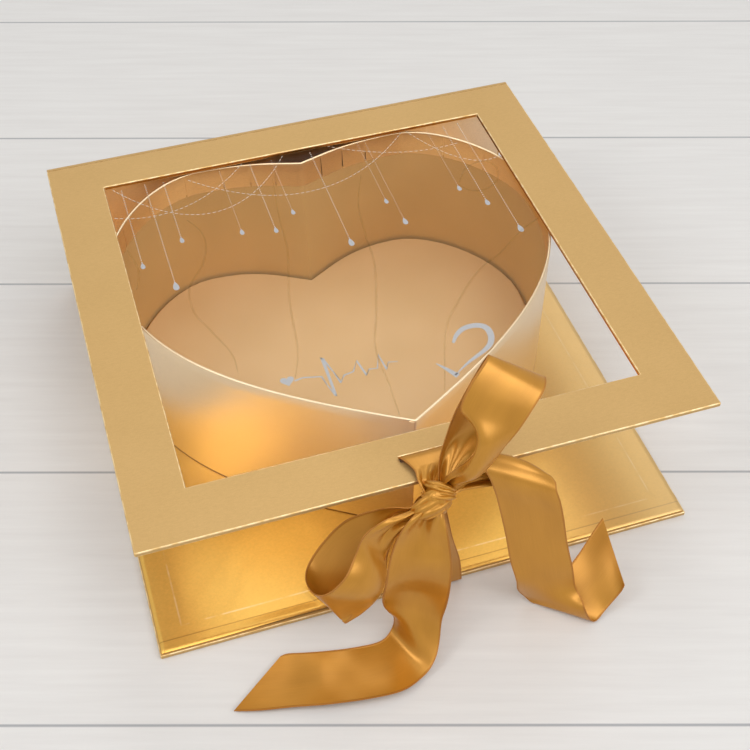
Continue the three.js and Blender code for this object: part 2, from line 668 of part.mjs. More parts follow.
// Strap: glued into the base's front edge and tied into the knot with the lid's ribbon
function buildStrap() {
  const tongueZ = baseBoardTop - strapRebateDepth / 2;
  addPiece('base_strap', tiedRibbon([
    station([STRAP_X, baseFrontY + PAPER + TONGUE_LENGTH, tongueZ], [1, 0, 0]),
    station([STRAP_X, baseFrontY + 0.8, tongueZ], [1, 0, 0]),
    station([STRAP_X, baseFrontY - 0.8, tongueZ], [1, 0, 0]),
    station([STRAP_X, baseFrontY - 1.9, tongueZ + 1.8], [1, 0, 0]),
    station([STRAP_X - 0.3, baseFrontY - 2.6, 18], [1, 0, 0], 0.88),
    station(fromKnot(1.5, 4, -31), [1, 0, -0.05], 0.6),
    station(fromKnot(1, 2.5, -9.7), [1, 0, -0.1], 0.32),
    station(fromKnot(0.5, 1, -3), [1, 0, -0.1], 0.24),
  ]), goldSatin);
}

buildBasePanel();
buildBaseLiner();
buildSpine();
buildHinges();
buildLidFrame();
buildWindow();
buildTrayWall();
buildTrayFoil();
buildTrayLining();
buildTrayFloor();
buildKnot();
buildLidRibbon();
buildUpperLoop();
buildLowerLoop();
buildCentreTail();
buildRightTail();
buildStrap();

export default giftBox;
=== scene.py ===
# Looks of the heart window gift box: papers, foils, film, print and the satin bow, built round the frame.
import math
from collections import namedtuple
from contextlib import contextmanager

import bmesh
import bpy
from mathutils import Matrix, Vector, noise


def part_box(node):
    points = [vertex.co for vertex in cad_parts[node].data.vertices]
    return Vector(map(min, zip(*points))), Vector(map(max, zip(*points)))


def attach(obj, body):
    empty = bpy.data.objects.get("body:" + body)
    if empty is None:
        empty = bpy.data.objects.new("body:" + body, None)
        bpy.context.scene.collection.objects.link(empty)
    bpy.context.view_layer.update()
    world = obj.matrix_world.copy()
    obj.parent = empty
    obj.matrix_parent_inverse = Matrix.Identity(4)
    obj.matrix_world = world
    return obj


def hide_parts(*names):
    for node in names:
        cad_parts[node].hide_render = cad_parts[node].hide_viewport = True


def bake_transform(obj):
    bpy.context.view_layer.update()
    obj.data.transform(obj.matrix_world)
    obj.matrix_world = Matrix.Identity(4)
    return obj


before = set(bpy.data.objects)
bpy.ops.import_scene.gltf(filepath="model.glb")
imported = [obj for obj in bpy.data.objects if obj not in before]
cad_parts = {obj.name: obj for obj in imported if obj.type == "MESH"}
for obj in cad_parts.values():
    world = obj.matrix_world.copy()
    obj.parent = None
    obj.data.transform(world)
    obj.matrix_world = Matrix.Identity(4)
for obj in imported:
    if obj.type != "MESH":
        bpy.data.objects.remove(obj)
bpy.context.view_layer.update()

MM = 0.001

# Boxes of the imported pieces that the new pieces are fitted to
LID_LOW, LID_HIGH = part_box("lid_wrap")
FILM_LOW, FILM_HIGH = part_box("window_film")
BASE_LOW, BASE_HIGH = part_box("base_wrap")
LINER_LOW, LINER_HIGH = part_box("base_liner_foil")
TRAY_LOW, TRAY_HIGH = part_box("tray_foil")
LINING_LOW, LINING_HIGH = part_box("tray_lining")
SPINE_LOW, SPINE_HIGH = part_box("spine_wrap")
KNOT_LOW, KNOT_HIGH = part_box("bow_knot")
KNOT = (KNOT_LOW + KNOT_HIGH) / 2

# Sizes of the case, in metres
WINDOW_MARGIN = 22.5 * MM
WINDOW_LOW = LID_LOW + Vector((WINDOW_MARGIN, WINDOW_MARGIN, 0))
WINDOW_HIGH = Vector((LID_HIGH.x - WINDOW_MARGIN, SPINE_HIGH.y - WINDOW_MARGIN, LID_HIGH.z))
PAPER = 0.25 * MM
LINER_RIDGE = 9.5 * MM
LINER_CREASE = 4.6 * MM
FOLD_RADIUS = 0.45 * MM
BASE_FOLD_RADIUS = 0.4 * MM
FLATTEST_FOLD = 0.985
SLOT_X = 1.5 * MM
SLOT_WIDTH = 2.4 * MM
SLOT_Y = LID_LOW.y + WINDOW_MARGIN / 2

# The foil on the base: how deep it is pressed, and where its front edge gapes and is pinched
TURN_PRESS = 0.1 * MM
CREASE_PRESS = 0.14 * MM
EDGE_DROP = 0.5 * MM
WAVE_HEIGHT = 0.07 * MM
GAPE_X = -55 * MM
GAPE_REACH = 36 * MM
GAPE_LIFT = 1.1 * MM
PINCH_X = -45 * MM
PINCH_LEAN = 0.55
PINCH_HEIGHT = 0.7 * MM

# Sizes of the heart tray, in metres
HEART_WIDEST_Y = 33 * MM
HEART_LOBE_X = 46 * MM
CLEFT_DEPTH_AT_FOOT = 15.5 * MM
CLEFT_DEPTH_AT_RIM = 8 * MM
RIM_WIDTH = 1.1 * MM
RIM_TURN_IN = 12 * MM
LINING_SETBACK = 0.15 * MM
SLIT_WIDTH = 0.8 * MM
SLIT_SHARES = [0.045, 0.09, 0.135, 0.18, 0.225, 0.27, 0.73, 0.775, 0.82, 0.865, 0.91, 0.955]

# Handles of the curves that draw the heart
CLEFT_PULL = HEART_LOBE_X * 0.3
CLEFT_RISE = 0.5
LOBE_HANDLE_IN = HEART_LOBE_X * 0.5
LOBE_HANDLE_OUT = TRAY_HIGH.x * 0.72
SHOULDER_PULL = 26 * MM
FLANK_PULL = 56 * MM
TIP_SPREAD = TRAY_HIGH.x * 0.51
TIP_PULL = 28 * MM

# Sides of the heart's shell, as numbers of its material slots
INNER_SIDE = 1
RIM_SIDE = 2

# Light of the world: as it lights, as it is seen and mirrored, and its share at the horizon
WORLD_LIGHT = 0.61
WORLD_SEEN = 0.98
HORIZON_SHARE = 0.62

# Planks that the case stands on
PLANK_WIDTH = 116.5 * MM
PLANK_LINE = -46.3 * MM
PLANK_TURN = Vector((0.9525, 0.3047))

# Sizes of the ribbon in metres, and how far from the knot its pleats reach
RIBBON_WIDTH = 25 * MM
RIBBON_THICKNESS = 0.35 * MM
SLOT_LENGTH = RIBBON_WIDTH + 2 * MM
STRAP_X = -2 * MM
STRAP_Z = 1.35 * MM
PLEAT_DEPTH = 2.2 * MM
PLEAT_REACH = 0.68
PLEAT_RUN = 0.4


# Camera at the photograph's viewing angle
def place_camera():
    data = bpy.data.cameras.new("camera")
    data.lens = 60.2
    data.sensor_width = 36
    camera = bpy.data.objects.new("camera", data)
    bpy.context.scene.collection.objects.link(camera)
    right = Vector((0.9525, -0.3047, -0.0023))
    up = Vector((0.2267, 0.7038, 0.6732))
    back = Vector((-0.2035, -0.6417, 0.7394))
    turn = Matrix((right, up, back)).transposed().to_4x4()
    camera.matrix_world = Matrix.Translation((-0.10485, -0.3612, 0.42345)) @ turn
    bpy.context.scene.camera = camera
    bpy.context.scene.view_settings.view_transform = "Standard"


# Shader nodes written as Python sums
def operator(operation, reflected=False):
    """A method that joins a wire with other values by one Math node, the wire last where reflected."""
    def method(wire, *others):
        parts = [*others, wire] if reflected else [wire, *others]
        return wire.finish.add("ShaderNodeMath", {"operation": operation}, *parts)

    return method


class Wire:
    """An output socket that takes part in sums with numbers and other wires."""

    __add__ = operator("ADD")
    __radd__ = operator("ADD", reflected=True)
    __sub__ = operator("SUBTRACT")
    __rsub__ = operator("SUBTRACT", reflected=True)
    __mul__ = operator("MULTIPLY")
    __rmul__ = operator("MULTIPLY", reflected=True)
    __truediv__ = operator("DIVIDE")
    __pow__ = operator("POWER")
    __abs__ = operator("ABSOLUTE")
    sine = operator("SINE")
    least = operator("MINIMUM")
    fraction = operator("FRACT")

    def __init__(self, finish, socket):
        self.finish = finish
        self.socket = socket

    def part(self, low, high):
        """0 below low, 1 above high, and a straight rise between them."""
        settings = {"clamp": True}
        return self.finish.add("ShaderNodeMapRange", settings, self, low, high, 0.0, 1.0)


class Finish:
    """A material with one Principled shader and the nodes that feed it."""

    def __init__(self, name, colour, **even):
        self.material = bpy.data.materials.new(name)
        self.material.use_nodes = True
        self.tree = self.material.node_tree
        self.shader = self.tree.nodes["Principled BSDF"]
        self.shader.inputs["Base Color"].default_value = (*colour, 1)
        for socket, value in even.items():
            self.shader.inputs[socket.replace("_", " ").title().replace("Ior", "IOR")].default_value = value

    def add(self, kind, settings, *values, output=0, **named):
        """Makes a node: its settings first, then its sockets, and gives one output as a wire."""
        node = self.tree.nodes.new(kind)
        for setting, value in settings.items():
            setattr(node, setting, value)
        pairs = [*enumerate(values), *((name.replace("_", " "), value) for name, value in named.items())]
        for key, value in pairs:
            if value is not None:
                self.feed(node.inputs[key], value)
        return Wire(self, node.outputs[output])

    def feed(self, socket, value):
        if isinstance(value, Wire):
            self.tree.links.new(value.socket, socket)
        elif isinstance(value, tuple) and socket.type == "RGBA":
            socket.default_value = (*value, 1)
        else:
            socket.default_value = value

    def drive(self, socket, wire):
        self.feed(self.shader.inputs[socket], wire)

    def paint(self, share, first, second):
        self.drive("Base Color", self.blend(share, first, second))

    def colour(self):
        """The colour that the shader is fed so far."""
        return Wire(self, self.shader.inputs["Base Color"].links[0].from_socket)

    def place(self, scale=(1, 1, 1), coordinate="Object"):
        """Coordinates in millimetres times scale, on the object or on its own UV map."""
        source = self.tree.nodes.new("ShaderNodeTexCoord").outputs[coordinate]
        stretch = tuple(share / MM for share in scale)
        return self.add("ShaderNodeMapping", {}, Vector=Wire(self, source), Scale=stretch)

    def axes(self, place):
        """The three coordinates of a place as wires of their own."""
        split = self.tree.nodes.new("ShaderNodeSeparateXYZ")
        self.feed(split.inputs[0], place)
        return [Wire(self, socket) for socket in split.outputs]

    def noise(self, grain, detail=2, roughness=0.5, distortion=0.0, coordinate="Object"):
        """Noise with so many grains to the millimetre, for all axes or for each, or at a given place."""
        if not isinstance(grain, Wire):
            scale = grain if isinstance(grain, tuple) else (grain, grain, grain)
            grain = self.place(scale, coordinate)
        return self.add(
            "ShaderNodeTexNoise", {}, Vector=grain, Scale=1.0, Detail=detail,
            Roughness=roughness, Distortion=distortion,
        )

    def blend(self, share, first, second):
        """A colour between first and second."""
        settings = {"data_type": "RGBA", "clamp_factor": True}
        for_numbers = [None] * 5
        return self.add("ShaderNodeMix", settings, share, *for_numbers, first, second, output=2)

    def bump(self, height, strength, distance_mm, under=None):
        return self.add(
            "ShaderNodeBump", {}, Strength=strength, Distance=distance_mm * MM, Height=height, Normal=under,
        )


# Papers and foils of the case
def gold_paper_finish():
    gold = (0.57, 0.355, 0.115)
    finish = Finish("satin_gold_paper", gold, metallic=0.4, roughness=0.48, specular_ior_level=0.3)
    grain = finish.noise((0.45, 1.9, 1.9), detail=4, roughness=0.65)
    fleck = finish.noise(2.4)
    cloud = finish.noise(0.03)
    shade = (grain * 0.45 + fleck * 0.35 + cloud * 0.2).part(0.3, 0.7)
    finish.paint(shade, (0.56, 0.35, 0.125), (0.675, 0.435, 0.175))
    finish.drive("Roughness", 0.42 + grain * 0.12)
    finish.drive("Normal", finish.bump(grain * 0.6 + fleck * 0.4, 0.25, 0.06))
    return finish.material


def foil_finish(name, colour, roughness, ripple, grain, metallic=1.0):
    finish = Finish(name, colour, metallic=metallic, roughness=roughness)
    brush = finish.noise(grain, detail=3, roughness=0.6)
    waves = finish.noise(0.035, distortion=0.6)
    dents = finish.noise(0.22)
    soft = finish.bump(waves, ripple, 1.6)
    finer = finish.bump(dents, ripple * 0.4, 0.35, under=soft)
    finish.drive("Normal", finish.bump(brush, 0.3, 0.1, under=finer))
    finish.drive("Roughness", roughness - 0.04 + brush * 0.08)
    tint = finish.noise(0.02, detail=1)
    darker = tuple(channel * 0.88 for channel in colour)
    finish.paint((tint * 0.4 + brush * 0.6).part(0.35, 0.65), darker, colour)
    return finish


def tray_foil_finish():
    """The tray's paler foil, with painted shade that darkens it where its foot meets the base."""
    finish = foil_finish("tray_foil", (0.94, 0.74, 0.48), 0.33, 0.08, (0.6, 0.6, 2.5))
    height = finish.axes(finish.place())[2]
    # Painted shade: dark brown along the foot, where the wall meets the base
    foot = 1 - height.part(TRAY_LOW.z / MM + 0.2, TRAY_LOW.z / MM + 0.9)
    finish.paint(foot, finish.colour(), (0.16, 0.06, 0.02))
    return finish.material


def fold_highlight_finish():
    """Rounded paper folds painted brighter than the flat paper, a painted highlight along the edges, with a
    glossier, more metallic finish.
    """
    finish = Finish("fold_painted_highlight", (0.86, 0.63, 0.32), metallic=0.8, roughness=0.32)
    wear = finish.noise(0.25, detail=3)
    # Painted highlight: both colours are brighter than the flat paper, and the noise varies them at random
    finish.paint(wear.part(0.35, 0.6), (0.72, 0.46, 0.17), (0.95, 0.74, 0.42))
    finish.drive("Normal", finish.bump(wear, 0.3, 0.3))
    return finish.material


def lined_foil_finish():
    """The base's foil, with a painted highlight along the ridge that its turned edges press through it,
    painted shade in the crease near its front, and a painted reflection that makes it paler towards the
    right.
    """
    finish = foil_finish("base_foil", (0.8, 0.475, 0.11), 0.36, 0.2, (0.9, 1.1, 1.1))
    x, y, _ = finish.axes(finish.place())
    low, high = LINER_LOW / MM, LINER_HIGH / MM
    inset = (x - low.x).least(high.x - x).least(y - low.y)
    patch = finish.noise(0.15, detail=3)
    # Painted highlight: a pale line along the pressed ridge, in patches
    ridge = (1 - abs(inset - LINER_RIDGE / MM).part(0.1, 0.45)) * patch.part(0.35, 0.6)
    # Painted shade: a dark line along the crease near the front
    crease = 1 - abs(y - low.y - LINER_CREASE / MM).part(0.05, 0.4)
    lined = finish.blend(ridge * 0.55, finish.colour(), (0.93, 0.72, 0.42))
    crease_shaded = finish.blend(crease * 0.6, lined, (0.3, 0.13, 0.03))
    # Painted reflection: paler and less saturated towards the right
    finish.paint(x.part(35, 105) * 0.5, crease_shaded, (0.7, 0.52, 0.3))
    return finish.material


def champagne_finish(name, darker, paler):
    finish = Finish(name, paler, metallic=0.25, roughness=0.6, specular_ior_level=0.2)
    grain = finish.noise(1.2, detail=4, roughness=0.6)
    cloud = finish.noise(0.03)
    shade = (grain * 0.35 + cloud * 0.65).part(0.3, 0.7)
    finish.paint(shade, darker, paler)
    finish.drive("Roughness", 0.52 + grain * 0.16)
    finish.drive("Normal", finish.bump(grain, 0.06, 0.06))
    return finish.material


def board_finish():
    finish = Finish("grey_board", (0.3, 0.28, 0.25), roughness=0.9)
    fibre = finish.noise((0.9, 3.5, 9), detail=5, roughness=0.7)
    finish.paint(fibre.part(0.3, 0.7), (0.24, 0.22, 0.19), (0.38, 0.36, 0.32))
    finish.drive("Normal", finish.bump(fibre, 0.3, 0.1))
    return finish.material


def plank_finish():
    """White painted planks that lie level across the photograph."""
    finish = Finish("white_planks", (0.8, 0.785, 0.765), roughness=0.75)
    x, y, _ = finish.axes(finish.place())
    across = x * PLANK_TURN.y + y * PLANK_TURN.x
    along = x * PLANK_TURN.x - y * PLANK_TURN.y
    step = ((across - PLANK_LINE / MM) / (PLANK_WIDTH / MM)).fraction()
    from_line = (0.5 - abs(step - 0.5)) * (PLANK_WIDTH / MM)
    spot = finish.add("ShaderNodeCombineXYZ", {}, along * 0.015, across * 0.25, 0.0)
    streak = finish.noise(spot, detail=4, roughness=0.6)
    body = finish.blend(streak.part(0.3, 0.7), (0.8, 0.785, 0.77), (0.85, 0.84, 0.825))
    groove = 1 - from_line.part(0.25, 0.8)
    finish.paint(groove * 0.75, body, (0.3, 0.31, 0.34))
    return finish.material


# Clear film: it lets most light through and mirrors the rest, more at a low angle
def film_finish():
    finish = Finish("clear_film", (0.98, 0.96, 0.95), metallic=1.0, roughness=0.16)
    waves = finish.noise(0.03, detail=1, distortion=0.8)
    finish.drive("Normal", finish.bump(waves, 0.25, 0.8))
    facing = finish.add("ShaderNodeLayerWeight", {}, 0.5, output=1)
    behind = finish.add("ShaderNodeNewGeometry", {}, output=6)
    share = (0.015 + 0.5 * facing ** 5) * (1 - behind)
    clear = finish.tree.nodes.new("ShaderNodeBsdfTransparent")
    mixed = finish.tree.nodes.new("ShaderNodeMixShader")
    finish.tree.links.new(share.socket, mixed.inputs[0])
    finish.tree.links.new(clear.outputs[0], mixed.inputs[1])
    finish.tree.links.new(finish.shader.outputs[0], mixed.inputs[2])
    finish.tree.links.new(mixed.outputs[0], finish.tree.nodes["Material Output"].inputs[0])
    return finish.material


def ink_finish():
    finish = Finish("pale_ink", (0.5, 0.5, 0.51), roughness=0.45)
    patch = finish.noise(1.5)
    finish.paint(patch.part(0.35, 0.65), (0.46, 0.465, 0.48), (0.53, 0.535, 0.55))
    return finish.material


def string_finish():
    return Finish("white_ink", (0.72, 0.66, 0.58), roughness=0.5).material


def ripple_finish():
    finish = Finish("film_ripple", (0.3, 0.15, 0.05), roughness=0.6, specular_ior_level=0.0)
    patch = finish.noise(0.12)
    finish.drive("Alpha", 0.015 + 0.1 * patch)
    return finish.material


# Satin: fine ribs across the ribbon and a darker woven edge on each side
def satin_finish():
    finish = Finish("gold_satin", (0.6, 0.26, 0.03), metallic=0.45, roughness=0.34, specular_ior_level=0.75)
    across, along, _ = finish.axes(finish.place(coordinate="UV"))
    ribs = (along * 14.0).sine()
    threads = finish.noise((9, 0.12, 1), detail=3, roughness=0.6, coordinate="UV")
    cloud = finish.noise((0.12, 0.05, 1), coordinate="UV")
    half = RIBBON_WIDTH / MM / 2
    from_middle = abs(across - half)
    edge = from_middle.part(half - 0.9, half - 0.5)
    loops = ((along * 9.0).sine() * 0.5 + 0.5) * edge
    shade = (threads * 0.5 + cloud * 0.5).part(0.3, 0.7)
    body = finish.blend(shade, (0.51, 0.222, 0.016), (0.63, 0.288, 0.028))
    finish.paint(edge * 0.6, body, (0.42, 0.15, 0.018))
    finish.drive("Roughness", 0.27 + threads * 0.08 + edge * 0.2)
    weave = finish.bump(ribs * 0.3 + threads * 0.4, 0.1, 0.03)
    finish.drive("Normal", finish.bump(edge + loops * 0.6, 0.5, 0.15, under=weave))
    return finish.material


# Modelling helpers
@contextmanager
def editing(piece):
    """Opens a piece in edit mode with nothing selected."""
    bpy.ops.object.select_all(action="DESELECT")
    piece.select_set(True)
    bpy.context.view_layer.objects.active = piece
    bpy.ops.object.mode_set(mode="EDIT")
    bpy.ops.mesh.select_all(action="DESELECT")
    yield
    bpy.ops.object.mode_set(mode="OBJECT")


def drop_faces(piece, test):
    """Deletes the faces that pass the test."""
    with editing(piece):
        bpy.ops.mesh.select_mode(type="FACE")
        mesh = bmesh.from_edit_mesh(piece.data)
        for face in mesh.faces:
            face.select = test(face)
        mesh.select_flush_mode()
        bmesh.update_edit_mesh(piece.data)
        bpy.ops.mesh.delete(type="FACE")


def take(name):
    """Names the primitive that was just added, with its place put into its mesh."""
    piece = bpy.context.active_object
    bpy.ops.object.transform_apply(location=True, rotation=True, scale=True)
    piece.name = name
    piece.data.name = name
    return piece


def deselect():
    bpy.ops.object.select_all(action="DESELECT")


def add_block(name, low, high):
    deselect()
    bpy.ops.mesh.primitive_cube_add(size=1, location=(low + high) / 2)
    bpy.context.active_object.scale = high - low
    return take(name)


def add_sheet(name, columns, rows, place, size=(1, 1)):
    """A flat grid whose points are moved to place(u, v); its UV map is in metres."""
    deselect()
    bpy.ops.mesh.primitive_grid_add(x_subdivisions=columns, y_subdivisions=rows, size=1)
    sheet = take(name)
    for vertex in sheet.data.vertices:
        vertex.co = place(vertex.co.x + 0.5, vertex.co.y + 0.5)
    for corner in sheet.data.uv_layers[0].data:
        corner.uv = (corner.uv[0] * size[0], corner.uv[1] * size[1])
    return sheet


def modify(piece, kind, **settings):
    deselect()
    piece.select_set(True)
    bpy.context.view_layer.objects.active = piece
    modifier = piece.modifiers.new(kind.lower(), kind)
    for setting, value in settings.items():
        setattr(modifier, setting, value)
    bpy.ops.object.modifier_apply(modifier=modifier.name)


def thicken(piece, thickness, offset=-1.0):
    modify(piece, "SOLIDIFY", thickness=thickness, offset=offset, use_even_offset=True)


def smooth(piece, degrees=40):
    deselect()
    piece.select_set(True)
    bpy.context.view_layer.objects.active = piece
    bpy.ops.object.shade_smooth_by_angle(angle=math.radians(degrees))


def dress(piece, body, material, slot, *nodes):
    """Gives a finished piece its material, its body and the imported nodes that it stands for."""
    piece.data.materials.clear()
    piece.data.materials.append(material)
    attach(piece, body)
    if nodes:
        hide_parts(*nodes)


def repaint(node, material):
    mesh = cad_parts[node].data
    mesh.materials.clear()
    mesh.materials.append(material)


def turn_outward(piece, merge=False):
    """Points the faces of a piece outwards, after its doubles are merged where that is asked."""
    with editing(piece):
        bpy.ops.mesh.select_all(action="SELECT")
        if merge:
            bpy.ops.mesh.remove_doubles(threshold=0.00001)
        bpy.ops.mesh.normals_make_consistent(inside=False)


def join(pieces):
    """Makes the pieces one, which keeps the name of the first."""
    deselect()
    for piece in pieces:
        piece.select_set(True)
    bpy.context.view_layer.objects.active = pieces[0]
    bpy.ops.object.join()


def round_folds(piece, radius=FOLD_RADIUS):
    """Rounds all sharp edges of a piece."""
    modify(piece, "BEVEL", width=radius, segments=3, limit_method="ANGLE", angle_limit=math.radians(60))


def even_shading(piece):
    """Smooth shading over rounded folds that leaves the flat sides flat."""
    smooth(piece, 50)
    modify(piece, "WEIGHTED_NORMAL", keep_sharp=True)


def cut_across(piece, axis, *places):
    """Bisects the whole piece at each place along an axis."""
    normal = Vector((0, 0, 0))
    normal[axis] = 1
    with editing(piece):
        for place in places:
            bpy.ops.mesh.select_all(action="SELECT")
            bpy.ops.mesh.bisect(plane_co=normal * place, plane_no=normal)


def inside(point, low, high):
    return low[0] < point.x < high[0] and low[1] < point.y < high[1]


def paint_folds(piece, fold):
    """Gives the rounded folds of a board their own material, which paints a highlight along them."""
    piece.data.materials.append(fold)
    for face in piece.data.polygons:
        if max(abs(part) for part in face.normal) < FLATTEST_FOLD:
            face.material_index = len(piece.data.materials) - 1


# Case: the lid's frame in its wrapping paper, with softly rounded folds
def build_lid_frame(paper, window_edge_shade_foil, fold):
    middle = (LID_LOW + LID_HIGH) / 2
    deselect()
    bpy.ops.mesh.primitive_plane_add(size=1, location=(middle.x, middle.y, LID_HIGH.z))
    bpy.context.active_object.scale = (LID_HIGH.x - LID_LOW.x, LID_HIGH.y - LID_LOW.y, 1)
    lid = take("lid_frame_paper")
    slot_low = (SLOT_X - SLOT_LENGTH / 2, SLOT_Y - SLOT_WIDTH / 2)
    slot_high = (SLOT_X + SLOT_LENGTH / 2, SLOT_Y + SLOT_WIDTH / 2)
    cut_across(lid, 0, WINDOW_LOW.x, slot_low[0], slot_high[0], WINDOW_HIGH.x)
    cut_across(lid, 1, slot_low[1], slot_high[1], WINDOW_LOW.y, WINDOW_HIGH.y)
    drop_faces(lid, lambda face: inside(face.calc_center_median(), WINDOW_LOW, WINDOW_HIGH))
    drop_faces(lid, lambda face: inside(face.calc_center_median(), slot_low, slot_high))
    with editing(lid):
        bpy.ops.mesh.select_all(action="SELECT")
        bpy.ops.mesh.extrude_region_move(TRANSFORM_OT_translate={"value": (0, 0, LID_LOW.z - LID_HIGH.z)})
    turn_outward(lid)
    round_folds(lid)
    even_shading(lid)
    dress(lid, "lid", paper, "gold_paper", "lid_wrap")
    # The window's inner edge faces get a darker foil: painted shade and painted reflection on those faces
    lid.data.materials.append(window_edge_shade_foil)
    margin = Vector((PAPER, PAPER, 0))
    for face in lid.data.polygons:
        if inside(face.center, WINDOW_LOW - margin, WINDOW_HIGH + margin) and abs(face.normal.z) < 0.3:
            face.material_index = 1
    paint_folds(lid, fold)


# Ground and light
def place_stage():
    deselect()
    bpy.ops.mesh.primitive_plane_add(size=6, location=(0, 0, -0.0002))
    floor = take("floor")
    floor.data.materials.append(plank_finish())


def light_studio():
    world = bpy.data.worlds.new("studio")
    bpy.context.scene.world = world
    world.use_nodes = True
    nodes, links = world.node_tree.nodes, world.node_tree.links
    background = nodes["Background"]
    background.inputs["Color"].default_value = (1, 0.99, 0.975, 1)
    path = nodes.new("ShaderNodeLightPath")
    height = nodes.new("ShaderNodeSeparateXYZ")
    links.new(nodes.new("ShaderNodeTexCoord").outputs["Generated"], height.inputs[0])

    def combine(operation, first, second):
        node = nodes.new("ShaderNodeMath")
        node.operation = operation
        links.new(first, node.inputs[0])
        links.new(second, node.inputs[1])
        return node.outputs[0]

    def between(low, high, share):
        node = nodes.new("ShaderNodeMapRange")
        node.inputs["To Min"].default_value = low
        node.inputs["To Max"].default_value = high
        links.new(share, node.inputs["Value"])
        return node.outputs[0]

    seen = path.outputs["Is Camera Ray"]
    for ray in ("Is Glossy Ray", "Is Transmission Ray"):
        seen = combine("MAXIMUM", seen, path.outputs[ray])
    level = between(WORLD_LIGHT, WORLD_SEEN, seen)
    level = combine("MULTIPLY", between(HORIZON_SHARE, 1, height.outputs["Z"]), level)
    links.new(level, background.inputs["Strength"])
    for name, spot, width, depth, power in (
        ("back", Vector((0.24, 0.78, 1.32)), 0.5, 0.7, 1.85),
        ("overhead", Vector((0.12, -0.6, 1.25)), 0.9, 0.6, 3.8),
        ("front", Vector((0.84, -0.84, 0.82)), 0.7, 0.5, 3.3),
        ("left", Vector((-0.93, -0.2, 1.1)), 0.5, 0.5, 2.8),
    ):
        data = bpy.data.lights.new(name, "AREA")
        data.shape = "RECTANGLE"
        data.size = width
        data.size_y = depth
        data.energy = power
        lamp = bpy.data.objects.new(name, data)
        lamp.location = spot
        lamp.rotation_euler = (spot - Vector((0, 0, 0.03))).to_track_quat("Z", "Y").to_euler()
        bpy.context.scene.collection.objects.link(lamp)


# Case: base panel, its liner and the two paper hinges
def build_base_panel(paper, fold):
    base = add_block("base_wrap_paper", BASE_LOW, BASE_HIGH)
    round_folds(base, BASE_FOLD_RADIUS)
    even_shading(base)
    dress(base, "base", paper, "gold_paper", "base_wrap")
    paint_folds(base, fold)


def bell(distance, reach):
    """1 at distance 0, falling smoothly to nothing a few reaches away."""
    return math.exp(-(distance / reach) ** 2)


def liner_height(x, y):
    """How far the liner's foil stands above its flat top."""
    front = y - LINER_LOW.y
    edge = min(x - LINER_LOW.x, LINER_HIGH.x - x, front, LINER_HIGH.y - y)
    height = TURN_PRESS * (1 / (1 + math.exp((LINER_RIDGE - edge) / (0.5 * MM))) - 1)
    height -= CREASE_PRESS * bell(front - LINER_CREASE, 0.35 * MM)
    height -= EDGE_DROP * max(0.0, 1 - edge / (0.9 * MM)) ** 2
    gape = max(0.0, 1 - abs(x - GAPE_X) / GAPE_REACH)
    lift = gape * gape * (3 - 2 * gape)
    height += GAPE_LIFT * lift * max(0.0, 1 - front / LINER_CREASE)
    along = front - 2 * MM
    away = x - PINCH_X + PINCH_LEAN * along
    fade = max(0.0, 1 - abs(along - 3 * MM) / (8 * MM))
    height += PINCH_HEIGHT * fade * (bell(away, 0.7 * MM) - 0.8 * bell(away - 1.6 * MM, 0.9 * MM))
    waves = noise.noise(Vector((x, y, 0)) * 22) + 0.35 * noise.noise(Vector((x, y, 3)) * 75)
    return height + WAVE_HEIGHT * waves


def build_base_liner(foil):
    def place(u, v):
        x = LINER_LOW.x + u * (LINER_HIGH.x - LINER_LOW.x)
        y = LINER_LOW.y + v * (LINER_HIGH.y - LINER_LOW.y)
        return Vector((x, y, LINER_HIGH.z + liner_height(x, y)))

    liner = add_sheet("base_liner_sheet", 260, 250, place)
    thicken(liner, LINER_HIGH.z - LINER_LOW.z)
    smooth(liner, 60)
    dress(liner, "base", foil, "gold_foil", "base_liner_foil", "base_liner_card")


def build_hinge(name, node, start_angle, paper):
    """A strip of paper bent a quarter turn between two boards."""
    low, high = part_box(node)
    radius = high.z - low.z
    axis_z = high.z if start_angle < 0 else low.z

    def place(u, v):
        angle = start_angle + v * math.pi / 2
        y = low.y + radius * math.cos(angle)
        return Vector((low.x + u * (high.x - low.x), y, axis_z + radius * math.sin(angle)))

    strip = add_sheet(name, 40, 16, place)
    turn_outward(strip)
    thicken(strip, PAPER)
    smooth(strip, 60)
    strip.data.materials.clear()
    strip.data.materials.append(paper)
    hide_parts(node)
    place(0.5, 0)
    place(0.5, 1)
    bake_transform(strip)


# Tray: outlines of the heart as closed curves, turned into meshes
def heart_outline(name, cleft_depth, height):
    """The heart's outer line as a mesh of one closed loop at a height."""
    half_width = TRAY_HIGH.x
    lobe_y = TRAY_HIGH.y
    tip_y = TRAY_LOW.y
    cleft_y = lobe_y - cleft_depth
    right = [
        ((0, cleft_y), None, (CLEFT_PULL, cleft_y + cleft_depth * CLEFT_RISE)),
        ((HEART_LOBE_X, lobe_y), (LOBE_HANDLE_IN, lobe_y), (LOBE_HANDLE_OUT, lobe_y)),
        (
            (half_width, HEART_WIDEST_Y), (half_width, HEART_WIDEST_Y + SHOULDER_PULL),
            (half_width, HEART_WIDEST_Y - FLANK_PULL),
        ),
        ((0, tip_y), (TIP_SPREAD, tip_y + TIP_PULL), None),
    ]

    def mirrored(point):
        return None if point is None else (-point[0], point[1])

    left = [(mirrored(at), mirrored(after), mirrored(before)) for at, before, after in reversed(right[1:3])]
    points = [*right, *left]
    deselect()
    bpy.ops.curve.primitive_bezier_curve_add()
    curve = bpy.context.active_object
    spline = curve.data.splines[0]
    spline.bezier_points.add(len(points) - len(spline.bezier_points))
    spline.use_cyclic_u = True
    spline.resolution_u = 32
    for knot, (at, before, after) in zip(spline.bezier_points, points):
        before = before or mirrored(after)
        after = after or mirrored(before)
        knot.handle_left_type = knot.handle_right_type = "FREE"
        knot.co = (*at, height)
        knot.handle_left = (*before, height)
        knot.handle_right = (*after, height)
    bpy.ops.object.convert(target="MESH")
    return take(name)


